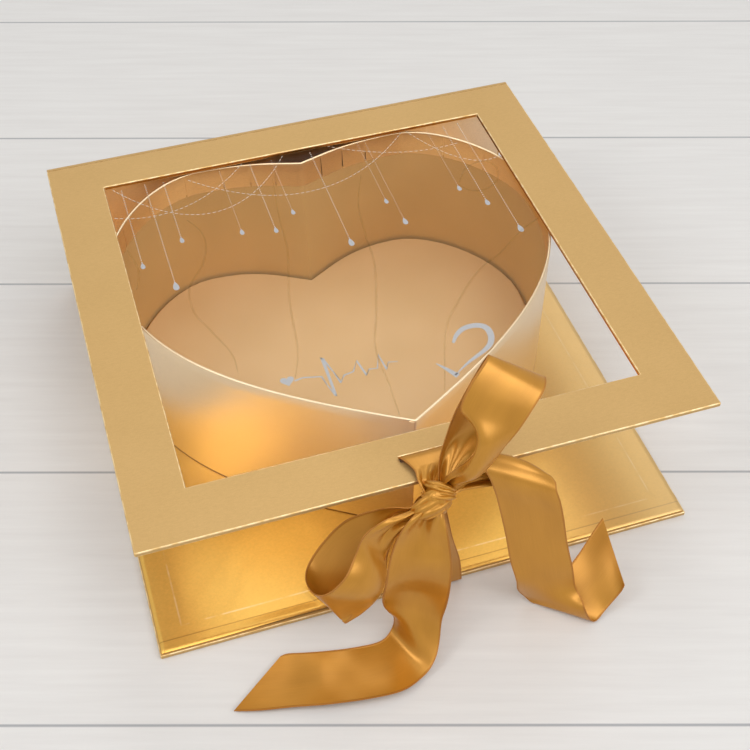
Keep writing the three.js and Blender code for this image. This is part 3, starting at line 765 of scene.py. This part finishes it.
def heart_wall(name, foot, rim):
    """A wall with no thickness from the heart's foot up to its rim."""
    tall = TRAY_HIGH.z - TRAY_LOW.z

    def depth(height):
        share = (height - TRAY_LOW.z) / tall
        return CLEFT_DEPTH_AT_FOOT + share * (CLEFT_DEPTH_AT_RIM - CLEFT_DEPTH_AT_FOOT)

    low = heart_outline(name, depth(foot), foot)
    high = heart_outline(name + "_rim", depth(rim), rim)
    join([low, high])
    with editing(low):
        bpy.ops.mesh.select_all(action="SELECT")
        bpy.ops.mesh.bridge_edge_loops(number_cuts=11, interpolation="LINEAR")
    turn_outward(low)
    return low


def heart_shell(name, foot, rim, inset, material):
    """A band parallel to the heart's outline, inset from it."""
    wall = heart_wall(name, foot, rim)
    for _ in (None, INNER_SIDE, RIM_SIDE):
        wall.data.materials.append(material)
    modify(
        wall, "SOLIDIFY", thickness=inset, offset=-1.0, use_even_offset=True,
        material_offset=INNER_SIDE, material_offset_rim=RIM_SIDE,
    )
    return wall


def slit_cutter(at, outward, top):
    """A wedge, narrow at the top, that cuts one slit into the turned-in foil."""
    reach = 3 * MM
    deselect()
    bpy.ops.mesh.primitive_cube_add(size=1)
    wedge = take("slit_cutter")
    side = outward.cross(Vector((0, 0, 1)))
    for vertex in wedge.data.vertices:
        up = vertex.co.z + 0.5
        width = SLIT_WIDTH * (1 - up) + 0.1 * MM * up
        offset = outward * ((vertex.co.y - 0.5) * reach - 0.9 * MM)
        level = Vector((0, 0, top - (RIM_TURN_IN + MM) * (1 - up)))
        vertex.co = at + side * (vertex.co.x * width) + offset + level
    return wedge


def build_tray_foil(foil):
    """Foil over the wall's outside, its rim and the band that is turned in."""
    cover = heart_shell("tray_foil_cover", TRAY_LOW.z, TRAY_HIGH.z, RIM_WIDTH, foil)
    fold = TRAY_HIGH.z - RIM_TURN_IN
    cut_across(cover, 2, fold)
    turned = (INNER_SIDE, RIM_SIDE)
    drop_faces(cover, lambda face: face.material_index in turned and face.calc_center_median().z < fold)
    turn_outward(cover)
    round_folds(cover)
    thicken(cover, PAPER)
    outline = heart_outline("rim_line", CLEFT_DEPTH_AT_RIM, 0)
    points = [vertex.co.copy() for vertex in outline.data.vertices]
    bpy.data.objects.remove(outline)
    cutters = []
    for share in SLIT_SHARES:
        i = int(share * len(points))
        ahead, behind = points[(i + 1) % len(points)], points[i - 1]
        outward = (ahead - behind).cross(Vector((0, 0, 1))).normalized()
        if outward.dot(points[i] - Vector((0, HEART_WIDEST_Y, 0))) < 0:
            outward = -outward
        cutters.append(slit_cutter(points[i], outward, TRAY_HIGH.z - 0.8 * MM))
    join(cutters)
    modify(cover, "BOOLEAN", object=cutters[0], operation="DIFFERENCE", solver="EXACT")
    bpy.data.objects.remove(cutters[0])
    smooth(cover, 40)
    dress(cover, "base", foil, "gold_foil", "tray_foil", "tray_wall")


def build_tray_lining(paper):
    """The lining below the turned-in foil, which overlaps its top edge."""
    lining = heart_shell(
        "tray_lining_paper", LINING_LOW.z, TRAY_HIGH.z - RIM_TURN_IN + MM, RIM_WIDTH - LINING_SETBACK, paper,
    )
    drop_faces(lining, lambda face: face.material_index != INNER_SIDE)
    thicken(lining, PAPER)
    smooth(lining, 40)
    dress(lining, "base", paper, "champagne_paper", "tray_lining")


def build_tip_seam(foil):
    """The strip where the foil's end laps over its beginning, left of the tip."""
    tall = TRAY_HIGH.z - TRAY_LOW.z
    way = Vector((-TIP_SPREAD, TIP_PULL, 0)).normalized()
    outward = Vector((-way.y, way.x, 0))

    def place(u, v):
        at = Vector((0, TRAY_LOW.y, TRAY_LOW.z + v * (tall - 0.5 * MM)))
        along = (0.5 + u * 2.1) * MM
        sag = Vector((0, 0.0024 * along * along / MM, 0))
        return at + way * along + outward * (0.12 * MM) + sag

    strip = add_sheet("tray_tip_seam", 6, 24, place)
    thicken(strip, 0.3 * MM, 0.0)
    smooth(strip)
    dress(strip, "base", foil, "gold_foil")


# Bow: ribbons led through stations and gathered towards the knot. A station says where the ribbon's
# middle is, which way is across it, its share of the full width, and how it cups and curls, in millimetres.
Station = namedtuple("Station", "at across spread cup curl", defaults=(1.0, 0.0, 0.0))


def from_knot(x, y, z):
    return KNOT + Vector((x, y, z)) * MM


def near_knot(*rows):
    """Stations at distances from the knot; each row is x, y, z, across and then what else it says."""
    return [Station(from_knot(x, y, z), *rest) for x, y, z, *rest in rows]


def on_table(*rows):
    """Stations at distances from the knot along the table, and at heights above the table."""
    return [Station(Vector((KNOT.x + x * MM, KNOT.y + y * MM, z * MM)), *rest) for x, y, z, *rest in rows]


def spline_at(values, share):
    """A smooth curve through the values; share runs from 0 to 1."""
    span = share * (len(values) - 1)
    i = min(int(span), len(values) - 2)
    t = span - i
    before = values[i - 1] if i > 0 else values[0] * 2 - values[1]
    here, after = values[i], values[i + 1]
    beyond = values[i + 2] if i + 2 < len(values) else after * 2 - here
    first = (after - before) * 0.5
    last = (beyond - here) * 0.5
    rise = after - here
    return here + t * first + t * t * (3 * rise - 2 * first - last) + t ** 3 * (first + last - 2 * rise)


def ribbon_point(stations, share, u, folds, twist, gather):
    """A point of a ribbon: share along its length, u across it."""
    at = spline_at([s.at for s in stations], share)
    step = 0.002
    ahead = spline_at([s.at for s in stations], min(1.0, share + step))
    behind = spline_at([s.at for s in stations], max(0.0, share - step))
    side = spline_at([Vector(s.across).normalized() for s in stations], share).normalized()
    face = (ahead - behind).cross(side).normalized()
    spread = spline_at([s.spread for s in stations], share)
    cup = spline_at([s.cup for s in stations], share)
    curl = spline_at([s.curl for s in stations], share) * MM * max(0.0, 1 - u / 0.45) ** 2
    width = RIBBON_WIDTH * spread
    reach = PLEAT_REACH + (gather - PLEAT_REACH) * max(0.0, 1 - share / PLEAT_RUN)
    depth = PLEAT_DEPTH * min(1.0, max(0.0, (reach - spread) / 0.5))
    wave = math.sin(2 * math.pi * folds * u + twist + 1.3 * share)
    wave += 0.35 * math.sin(2 * math.pi * (folds * 2.3) * u - twist * 1.7)
    lift = depth * wave * math.sin(math.pi * (0.12 + 0.76 * u)) + cup * MM * (1 - (2 * u - 1) ** 2)
    return at + side * (width * (u - 0.5) + curl) + face * (lift - 0.6 * curl)


def route_length(stations, steps=400):
    points = [spline_at([s.at for s in stations], i / steps) for i in range(steps + 1)]
    return sum((b - a).length for a, b in zip(points, points[1:]))


def build_ribbon(name, stations, satin, body, node, folds=2.0, twist=0.0, gather=PLEAT_REACH):
    length = route_length(stations)
    rows = max(60, int(length / (1.1 * MM)))

    def place(u, v):
        return ribbon_point(stations, v, u, folds, twist, gather)

    ribbon = add_sheet(name, 30, rows, place, (RIBBON_WIDTH, length))
    thicken(ribbon, RIBBON_THICKNESS, 0.0)
    smooth(ribbon, 60)
    dress(ribbon, body, satin, "satin_ribbon", node)


def build_upper_loop(satin):
    build_ribbon("bow_upper_loop_satin", near_knot(
        (3, 1.5, 2, (0.95, -0.3, 0), 0.15),
        (4.5, 3.5, 5, (0.95, -0.2, -0.2), 0.2),
        (7.5, 7, 9.5, (0.9, -0.3, -0.35), 0.35, 1.0),
        (13.5, 10, 15.5, (0.9, -0.2, -0.35), 0.6, 3.0),
        (20.5, 12, 23.5, (0.9, -0.15, -0.4), 0.9, 3.0),
        (26.5, 13.5, 33, (0.85, -0.15, -0.5), 1.0, 1.0),
        (31, 15, 40.5, (0.85, -0.15, -0.55)),
        (32, 13.5, 45, (0.8, -0.15, -0.55)),
        (29, 9, 45.5, (0.8, -0.25, -0.5)),
        (23, 4.5, 42, (0.85, -0.25, -0.45)),
        (17.5, 1, 36.5, (0.85, -0.25, -0.45), 0.95, 0.5, 1.5),
        (15.5, -1, 30.5, (0.8, -0.3, -0.55), 0.68, 3.5, 6.5),
        (13.5, -1.5, 24, (0.75, -0.4, -0.55), 0.52, 5.0, 8),
        (10, -1.5, 17, (0.85, -0.35, -0.45), 0.45, 5, 6),
        (6.5, 0, 11.5, (0.85, -0.35, -0.4), 0.3, 2.5, 2),
        (4.5, 2, 6, (0.85, -0.15, -0.55), 0.15),
    ), satin, "lid", "bow_loop_upper", folds=1.0, twist=0.6)


def build_lower_loop(satin):
    build_ribbon("bow_lower_loop_satin", near_knot(
        (-5, 0, -1.5, (0.1, -0.5, -0.85), 0.15),
        (-10, -0.5, -2.5, (-0.1, -0.45, -0.85), 0.2),
        (-15, 1, -5, (-0.1, -0.45, -0.9), 0.35),
        (-21, 0, -11, (0.05, -0.7, -0.7), 0.7, -1.0),
        (-28.5, -0.5, -17, (0.2, -0.75, -0.63), 0.95, -1.5),
        (-36, -2.5, -23.5, (0.28, -0.75, -0.6), 1.0, -0.5),
        (-41.5, -6, -28.5, (0.4, -0.65, -0.65), 1.02),
        (-44, -9, -30, (0.47, -0.45, -0.75), 0.94),
        (-43, -12.5, -29.5, (0.48, -0.12, -0.85), 0.93),
        (-38, -14, -26.5, (0.55, 0.05, -0.85), 0.97, -0.5),
        (-32, -13, -21.5, (0.5, 0, -0.85), 0.9, -3.0),
        (-27.5, -9.5, -16.5, (0.5, -0.15, -0.85), 0.8, -2.5),
        (-24, -5, -10, (0.5, 0, -0.85), 0.7, 0.5),
        (-18.5, -3, -5, (0.4, -0.15, -0.85), 0.4),
        (-12.5, -2.5, -2.5, (0.35, -0.45, -0.85), 0.2),
        (-5, -1, -2.5, (0.1, -0.75, -0.65), 0.15),
    ), satin, "lid", "bow_loop_lower", folds=1.2, twist=2.0, gather=0.9)


def build_centre_tail(satin):
    build_ribbon("bow_centre_tail_satin", near_knot(
        (-1, -0.5, -1, (0.9, 0, -0.4), 0.25),
        (-4, -4, -2, (0.95, -0.15, -0.3), 0.45),
        (-6.5, -7, -5.5, (0.95, -0.25, -0.2), 0.65, -2.5),
        (-8, -9, -12, (0.95, -0.3, -0.15), 0.8, -2.5),
        (-9.3, -11, -20, (0.95, -0.3, -0.05), 0.9, -1.0),
        (-10.4, -12.8, -29, (0.95, -0.25, -0.15), 0.95, -2.5),
        (-11.6, -13.4, -39.2, (0.95, -0.2, -0.3), 1.0, -4.5),
        (-12.1, -12.9, -47.8, (0.87, -0.3, -0.4), 0.95, -2.5),
        (-11.9, -14.2, -54.5, (0.73, -0.5, -0.45), 0.9, -0.5),
        (-12.5, -16.5, -59.5, (0.48, -0.76, -0.4), 0.88),
    ) + on_table(
        (-15.5, -18, 4, (0.22, -0.95, -0.15), 0.9),
        (-23, -21.5, 3.5, (0.02, -1, 0.05), 0.92, -0.6),
        (-34.5, -21, 3.5, (-0.1, -1, 0.1), 0.93, -1.0),
        (-48, -18.5, 3, (-0.2, -0.95, 0.12), 0.95, 0.5),
        (-60.5, -15, 2, (-0.4, -0.9, 0.08), 0.95, -0.5),
        (-72.5, -12, 1, (-0.8, -0.6, 0), 1.1),
    ), satin, "lid", "bow_tail_centre", folds=1.5, twist=0.2, gather=1.0)


def build_right_tail(satin):
    build_ribbon("bow_right_tail_satin", near_knot(
        (4, 1, 0, (0.25, 0, -0.95), 0.2),
        (8.5, 2.5, 1.5, (0.4, 0, -0.95), 0.2),
        (14, 3.5, 1.5, (0.35, -0.55, -0.75), 0.25),
        (21.5, 4, 1, (0.55, -0.6, -0.55), 0.4),
        (28.5, 4, 1, (0.65, -0.4, -0.6), 0.7),
        (32, 2.5, 5.5, (0.8, -0.35, -0.45), 0.85, 1.5),
        (31.5, 0, 5, (0.85, -0.3, -0.42), 1.1, 1.5),
        (30.5, -3, 3.5, (0.85, -0.27, -0.42), 1.16, 1.0),
        (32, -5, -1.5, (0.85, -0.25, -0.42), 1.14, 0.5),
        (34, -6.5, -10.5, (0.85, -0.25, -0.4), 1.1),
        (36.5, -9, -25.5, (0.9, -0.25, -0.3)),
        (39, -12, -40.5, (0.95, -0.25, -0.25)),
        (41.5, -14, -53, (0.95, -0.25, -0.3)),
    ) + on_table(
        (44.5, -16.5, 6.5, (0.75, -0.65, 0.2)),
        (49, -19, 1.5, (0.75, -0.65, 0), 0.9),
        (57.5, -15.5, 6, (0.55, -0.8, -0.3), 0.85),
        (65, -12, 11, (0.3, -0.9, -0.3), 0.9),
        (72, -8, 17, (-0.05, -0.95, -0.35), 1.1),
    ), satin, "lid", "bow_tail_right", folds=1.5, twist=1.0)


def build_fan(satin):
    top = LID_HIGH.z
    build_ribbon("lid_ribbon_satin", [
        Station(Vector((SLOT_X, SLOT_Y + 0.6 * MM, top - 1.2 * MM)), (1, 0, 0)),
        Station(Vector((SLOT_X, SLOT_Y + 0.4 * MM, top + 0.8 * MM)), (1, 0, 0), 1.14),
        Station(Vector((SLOT_X - 0.3 * MM, SLOT_Y - 2.4 * MM, top + 2 * MM)), (1, 0, 0), 1.02, 0.8),
        Station(Vector((SLOT_X - 3 * MM, LID_LOW.y + 3.5 * MM, top + 2.2 * MM)), (1, 0, 0), 0.64, 0.6),
        Station(Vector((KNOT.x + 0.5 * MM, LID_LOW.y - 1.5 * MM, top + 2 * MM)), (1, 0, 0), 0.42),
    ] + near_knot(
        (0.3, 2, 2, (1, 0, 0), 0.3),
    ), satin, "lid", "lid_ribbon", folds=2.5, twist=0.5)


def build_strap(satin):
    build_ribbon("base_strap_satin", [
        Station(Vector((STRAP_X, BASE_LOW.y + 4 * MM, STRAP_Z)), (1, 0, 0)),
        Station(Vector((STRAP_X, BASE_LOW.y - 0.8 * MM, STRAP_Z)), (1, 0, 0)),
        Station(Vector((STRAP_X, BASE_LOW.y - 1.9 * MM, 3.2 * MM)), (1, 0, 0)),
        Station(Vector((-2.3 * MM, BASE_LOW.y - 2.6 * MM, 18 * MM)), (1, 0, 0), 0.88),
    ] + near_knot(
        (1.5, 4, -31, (1, 0, -0.05), 0.6),
        (1, 2.5, -9.7, (1, 0, -0.1), 0.32),
        (0.5, 1, -4, (1, 0, -0.1), 0.24),
    ), satin, "base", "base_strap", folds=1.5, twist=0.0)


def build_knot_core(satin):
    """The gathered ribbons in the middle of the knot, inside its wraps."""
    deselect()
    bpy.ops.mesh.primitive_uv_sphere_add(segments=64, ring_count=48, radius=1)
    core = take("bow_knot_satin")
    for vertex in core.data.vertices:
        x, y, z = vertex.co
        ridge = 1 + 0.05 * math.sin(9 * math.atan2(y, x) + 2 * z)
        vertex.co = KNOT + Vector((x * 5.4 * ridge, y * 4.6 * ridge, z * 6.6)) * MM
    for corner in core.data.uv_layers[0].data:
        corner.uv = (corner.uv[0] * 20 * MM + 2 * MM, corner.uv[1] * 30 * MM)
    smooth(core, 70)
    dress(core, "lid", satin, "satin_ribbon", "bow_knot")


def build_wrap(name, middle, turn, half_length, half_depth, width, pleats, satin):
    """One turn of ribbon round the knot, gathered into pleats that run along it."""
    out = Vector((-0.2, -0.64, 0.74))
    level = Vector((0.95, -0.3, 0))
    rise = out.cross(level).normalized()
    along = level * math.cos(turn) + rise * math.sin(turn)
    axis = rise * math.cos(turn) - level * math.sin(turn)

    def place(u, v):
        angle = v * 2 * math.pi
        swell = 1 - 0.3 * abs(2 * u - 1) ** 2.4
        swell += 0.13 * abs(math.sin(math.pi * pleats * u + 0.8 * math.sin(angle))) - 0.05
        swell += 0.02 * math.sin(5 * angle + 9 * u)
        narrow = 0.72 + 0.28 * math.sin(angle) ** 2
        ahead = along * (half_length * swell * math.cos(angle))
        outward = out * (half_depth * swell * math.sin(angle))
        return middle + ahead + outward + axis * (width * narrow * (0.5 - u))

    perimeter = math.pi * (half_length + half_depth)
    wrap = add_sheet(name, 28, 96, place, (RIBBON_WIDTH, perimeter))
    turn_outward(wrap, merge=True)
    thicken(wrap, RIBBON_THICKNESS)
    smooth(wrap, 60)
    dress(wrap, "lid", satin, "satin_ribbon")


def build_knot(satin):
    build_knot_core(satin)
    build_wrap("bow_wrap_top", from_knot(2.2, 2.6, 3.8), -0.28, 5.6 * MM, 4.8 * MM, 4.4 * MM, 2, satin)
    build_wrap("bow_wrap_middle", from_knot(1.2, 1, 1.6), -0.05, 6.0 * MM, 5.4 * MM, 4.2 * MM, 2, satin)
    build_wrap("bow_wrap_front", from_knot(-2, 0, -1.2), 0.5, 8.0 * MM, 6.0 * MM, 8.4 * MM, 3, satin)


# Print on the film: strings of beads with drops, dashed swags, a pulse line and an open heart
INK = 0.05 * MM
PRINT_Z = FILM_HIGH.z
LARGE_BEAD = 0.28
SMALL_BEAD = 0.2
SMALL_HEART_X = -40.2
SMALL_HEART_Y = -47.2
SMALL_HEART_SCALE = 0.17


class Print:
    """Collects flat shapes of ink and makes them one mesh."""

    def __init__(self):
        self.points = []
        self.faces = []

    def patch(self, outline):
        start = len(self.points)
        self.points += [(x * MM, y * MM, PRINT_Z) for x, y in outline]
        self.faces.append(list(range(start, len(self.points))))

    def stroke(self, points, widths):
        """A line of changing width through points, as one quad for each stretch."""
        sides = []
        for i, (x, y) in enumerate(points):
            ahead = points[min(i + 1, len(points) - 1)]
            behind = points[max(i - 1, 0)]
            way = Vector((ahead[0] - behind[0], ahead[1] - behind[1])).normalized()
            off = Vector((-way.y, way.x)) * widths[i] / 2
            sides.append(((x + off.x, y + off.y), (x - off.x, y - off.y)))
        for (a, b), (c, d) in zip(sides, sides[1:]):
            self.patch([a, b, d, c])

    def make(self, name, ink):
        mesh = bpy.data.meshes.new(name)
        mesh.from_pydata(self.points, [], self.faces)
        mesh.update()
        piece = bpy.data.objects.new(name, mesh)
        bpy.context.scene.collection.objects.link(piece)
        turn_outward(piece, merge=True)
        thicken(piece, INK, 1.0)
        dress(piece, "lid", ink, "clear_film")


# Drops on strings: x, y and size in millimetres, and whether the string's beads are large
DROPS = [
    (-80.5, 33.2, 3.4, True), (-69.9, 17.2, 4.6, True), (-61.8, 44.2, 3.4, True), (-36.4, 41.4, 3.4, False),
    (-22.3, 38.2, 3.4, True), (-12.3, 47.3, 3.2, False), (5.9, 21.0, 4.4, True), (28.3, 41.9, 3.2, False),
    (31.9, 26.8, 4.0, False), (61.7, 40.5, 3.4, False), (70.0, 27.8, 3.8, True), (77.2, 7.4, 4.4, True),
]
# Dashed swags in millimetres: start, end, the x and y of the lowest point, and the bend
SWAGS = [
    (-84, -6, -45.5, 57.4, 0.0191), (-86.5, -25.5, -68.8, 62.8, 0.0126), (-51, 51, -2.4, 58.3, 0.0102),
    (14.5, 72, 62.7, 70.3, 0.0072), (52.5, 87, 81.3, 55.3, 0.0375),
]


def draw_drop(print_sheet, x, y, size):
    outline = []
    for i in range(16):
        angle = i / 16 * 2 * math.pi
        taper = math.sin(angle / 2) ** 1.2
        outline.append((x + size * 0.38 * math.sin(angle) * taper, y + size * 0.58 * math.cos(angle)))
    print_sheet.patch(outline)


def draw_beads(print_sheet, x, low, high, size, apart=1.35):
    angles = [k / 6 * 2 * math.pi for k in range(6)]
    count = int((high - low) / apart)
    for i in range(count):
        y = low + i * apart
        print_sheet.patch([(x + size * math.cos(angle), y + size * math.sin(angle)) for angle in angles])


def draw_dashes(print_sheet, start, end, low_x, low_y, bend, dash=1.5, gap=0.9, width=0.26):
    x = start
    while x < end:
        slope = 2 * bend * (x - low_x)
        run = dash / math.hypot(1, slope)
        rest = gap / math.hypot(1, slope)
        points = [(x + run * i / 2, low_y + bend * (x + run * i / 2 - low_x) ** 2) for i in range(3)]
        if points[-1][1] < WINDOW_HIGH.y / MM:
            print_sheet.stroke(points, [width] * 3)
        x += run + rest


def smooth_path(points, steps=6):
    values = [Vector(point) for point in points]
    count = (len(values) - 1) * steps
    return [tuple(spline_at(values, i / count)) for i in range(count + 1)]


def build_strings(ink):
    """The strings that the drops hang on, and the dashed swags."""
    sheet = Print()
    top = WINDOW_HIGH.y / MM
    for x, y, size, large in DROPS:
        draw_beads(sheet, x, y + size * 0.65, top, LARGE_BEAD if large else SMALL_BEAD)
    for start, end, low_x, low_y, bend in SWAGS:
        draw_dashes(sheet, start, end, low_x, low_y, bend)
    sheet.make("film_strings", ink)


def build_print(ink):
    sheet = Print()
    for x, y, size, _ in DROPS:
        draw_drop(sheet, x, y, size)
    heart = []
    for i in range(24):
        angle = i / 24 * 2 * math.pi
        across = 16 * math.sin(angle) ** 3
        up = 13 * math.cos(angle) - 5 * math.cos(2 * angle) - 2 * math.cos(3 * angle) - math.cos(4 * angle)
        heart.append((SMALL_HEART_X + across * SMALL_HEART_SCALE, SMALL_HEART_Y + up * SMALL_HEART_SCALE))
    sheet.patch(heart)
    pulse = [
        (-37.6, -48.0), (-34.1, -47.3), (-27.2, -49.0), (-24.7, -60.1), (-24.4, -39.6), (-21.0, -54.3),
        (-18.8, -50.9), (-14.9, -50.2), (-12.1, -45.1), (-10.6, -53.5), (-8.6, -50.8), (-5.6, -51.4),
        (-3.2, -44.6), (-2.4, -53.0), (-0.6, -49.6), (3.0, -50.4),
    ]
    sheet.stroke(pulse, [0.7, 0.6, 0.7, 1.0, 1.5, 0.9, 0.7, 0.6, 0.9, 0.9, 0.6, 0.6, 0.9, 0.8, 0.5, 0.3])
    brush = smooth_path([
        (26.6, -47.6), (29.6, -43.8), (33.7, -41.4), (38.8, -41.5), (41.8, -43.8), (42.2, -47.9),
        (40.5, -52.1), (36.7, -55.2), (28.9, -59.1), (21.5, -63.9),
    ])
    swells = [math.sin(math.pi * min(1, 0.06 + i / len(brush))) ** 0.8 for i in range(len(brush))]
    sheet.stroke(brush, [0.5 + 2.2 * swell for swell in swells])
    flick = smooth_path([(22.4, -64.6), (19.3, -59.8), (16.6, -56.0)])
    sheet.stroke(flick, [2.2 * (1 - i / len(flick)) + 0.2 for i in range(len(flick))])
    sheet.make("film_print", ink)


# Flow lines in the film, in millimetres
RIPPLES = [
    [(-85, 45), (-83, 35), (-83, 28), (-85.5, 20)],
    [(-57, 56), (-53, 47), (-53, 37), (-57, 26), (-65, 14), (-66, 0), (-62, -12), (-57, -27), (-57, -37)],
    [(-15, 72), (-19, 44), (-21, 24), (-28, -5), (-32, -32), (-37, -47)],
    [(23, 62), (16, 43), (13, 23), (11, 4), (3, -23), (-3, -41), (-4, -61), (-5, -76)],
    [(63, 44), (69.5, 52.5), (78, 55), (82.5, 50), (80, 41), (72.5, 36), (65.5, 37.5), (62.5, 43)],
    [(87, 11), (76, 5), (63, -5), (51, -12), (37, -26), (26, -41), (15, -70)],
]


def build_ripples(shade):
    """Faint flow lines in the film."""
    sheet = Print()
    for line in RIPPLES:
        path = smooth_path(line, 8)
        widths = [0.25 + 0.75 * math.sin(math.pi * (0.1 + 0.8 * i / len(path))) for i in range(len(path))]
        sheet.stroke(path, widths)
    sheet.make("film_ripples", shade)


def build():
    place_camera()
    light_studio()
    place_stage()
    paper = gold_paper_finish()
    floor_foil = lined_foil_finish()
    wall_foil = tray_foil_finish()
    window_edge_shade_foil = foil_finish("window_edge_painted_shade_foil", (0.5, 0.21, 0.05), 0.35, 0.1, (1, 1, 1)).material
    champagne = champagne_finish("champagne_wall", (0.64, 0.415, 0.155), (0.71, 0.465, 0.185))
    # The floor is the wall's paper painted paler, as painted light for the light that falls on it from above
    floor_paper = champagne_finish("champagne_floor_painted_lighter", (0.735, 0.495, 0.235), (0.815, 0.565, 0.29))
    board = board_finish()
    film = film_finish()
    ink = ink_finish()
    satin = satin_finish()
    for node in ("base_board", "spine_board", "lid_board", "tray_floor"):
        repaint(node, board)
    repaint("spine_wrap", paper)
    liner_foil = foil_finish("liner_foil", (0.95, 0.7, 0.46), 0.38, 0.08, (0.6, 2.5, 2.5), metallic=0.85)
    for node in ("spine_liner", "lid_liner"):
        repaint(node, liner_foil.material)
    repaint("tray_floor_paper", floor_paper)
    repaint("window_film", film)
    fold = fold_highlight_finish()
    build_lid_frame(paper, window_edge_shade_foil, fold)
    build_base_panel(paper, fold)
    build_base_liner(floor_foil)
    build_hinge("base_hinge_strip", "base_hinge_paper", -math.pi / 2, paper)
    build_hinge("lid_hinge_strip", "lid_hinge_paper", 0.0, paper)
    build_tray_foil(wall_foil)
    build_tray_lining(champagne)
    build_tip_seam(wall_foil)
    build_print(ink)
    build_strings(string_finish())
    build_ripples(ripple_finish())
    build_knot(satin)
    build_fan(satin)
    build_upper_loop(satin)
    build_lower_loop(satin)
    build_centre_tail(satin)
    build_right_tail(satin)
    build_strap(satin)


build()
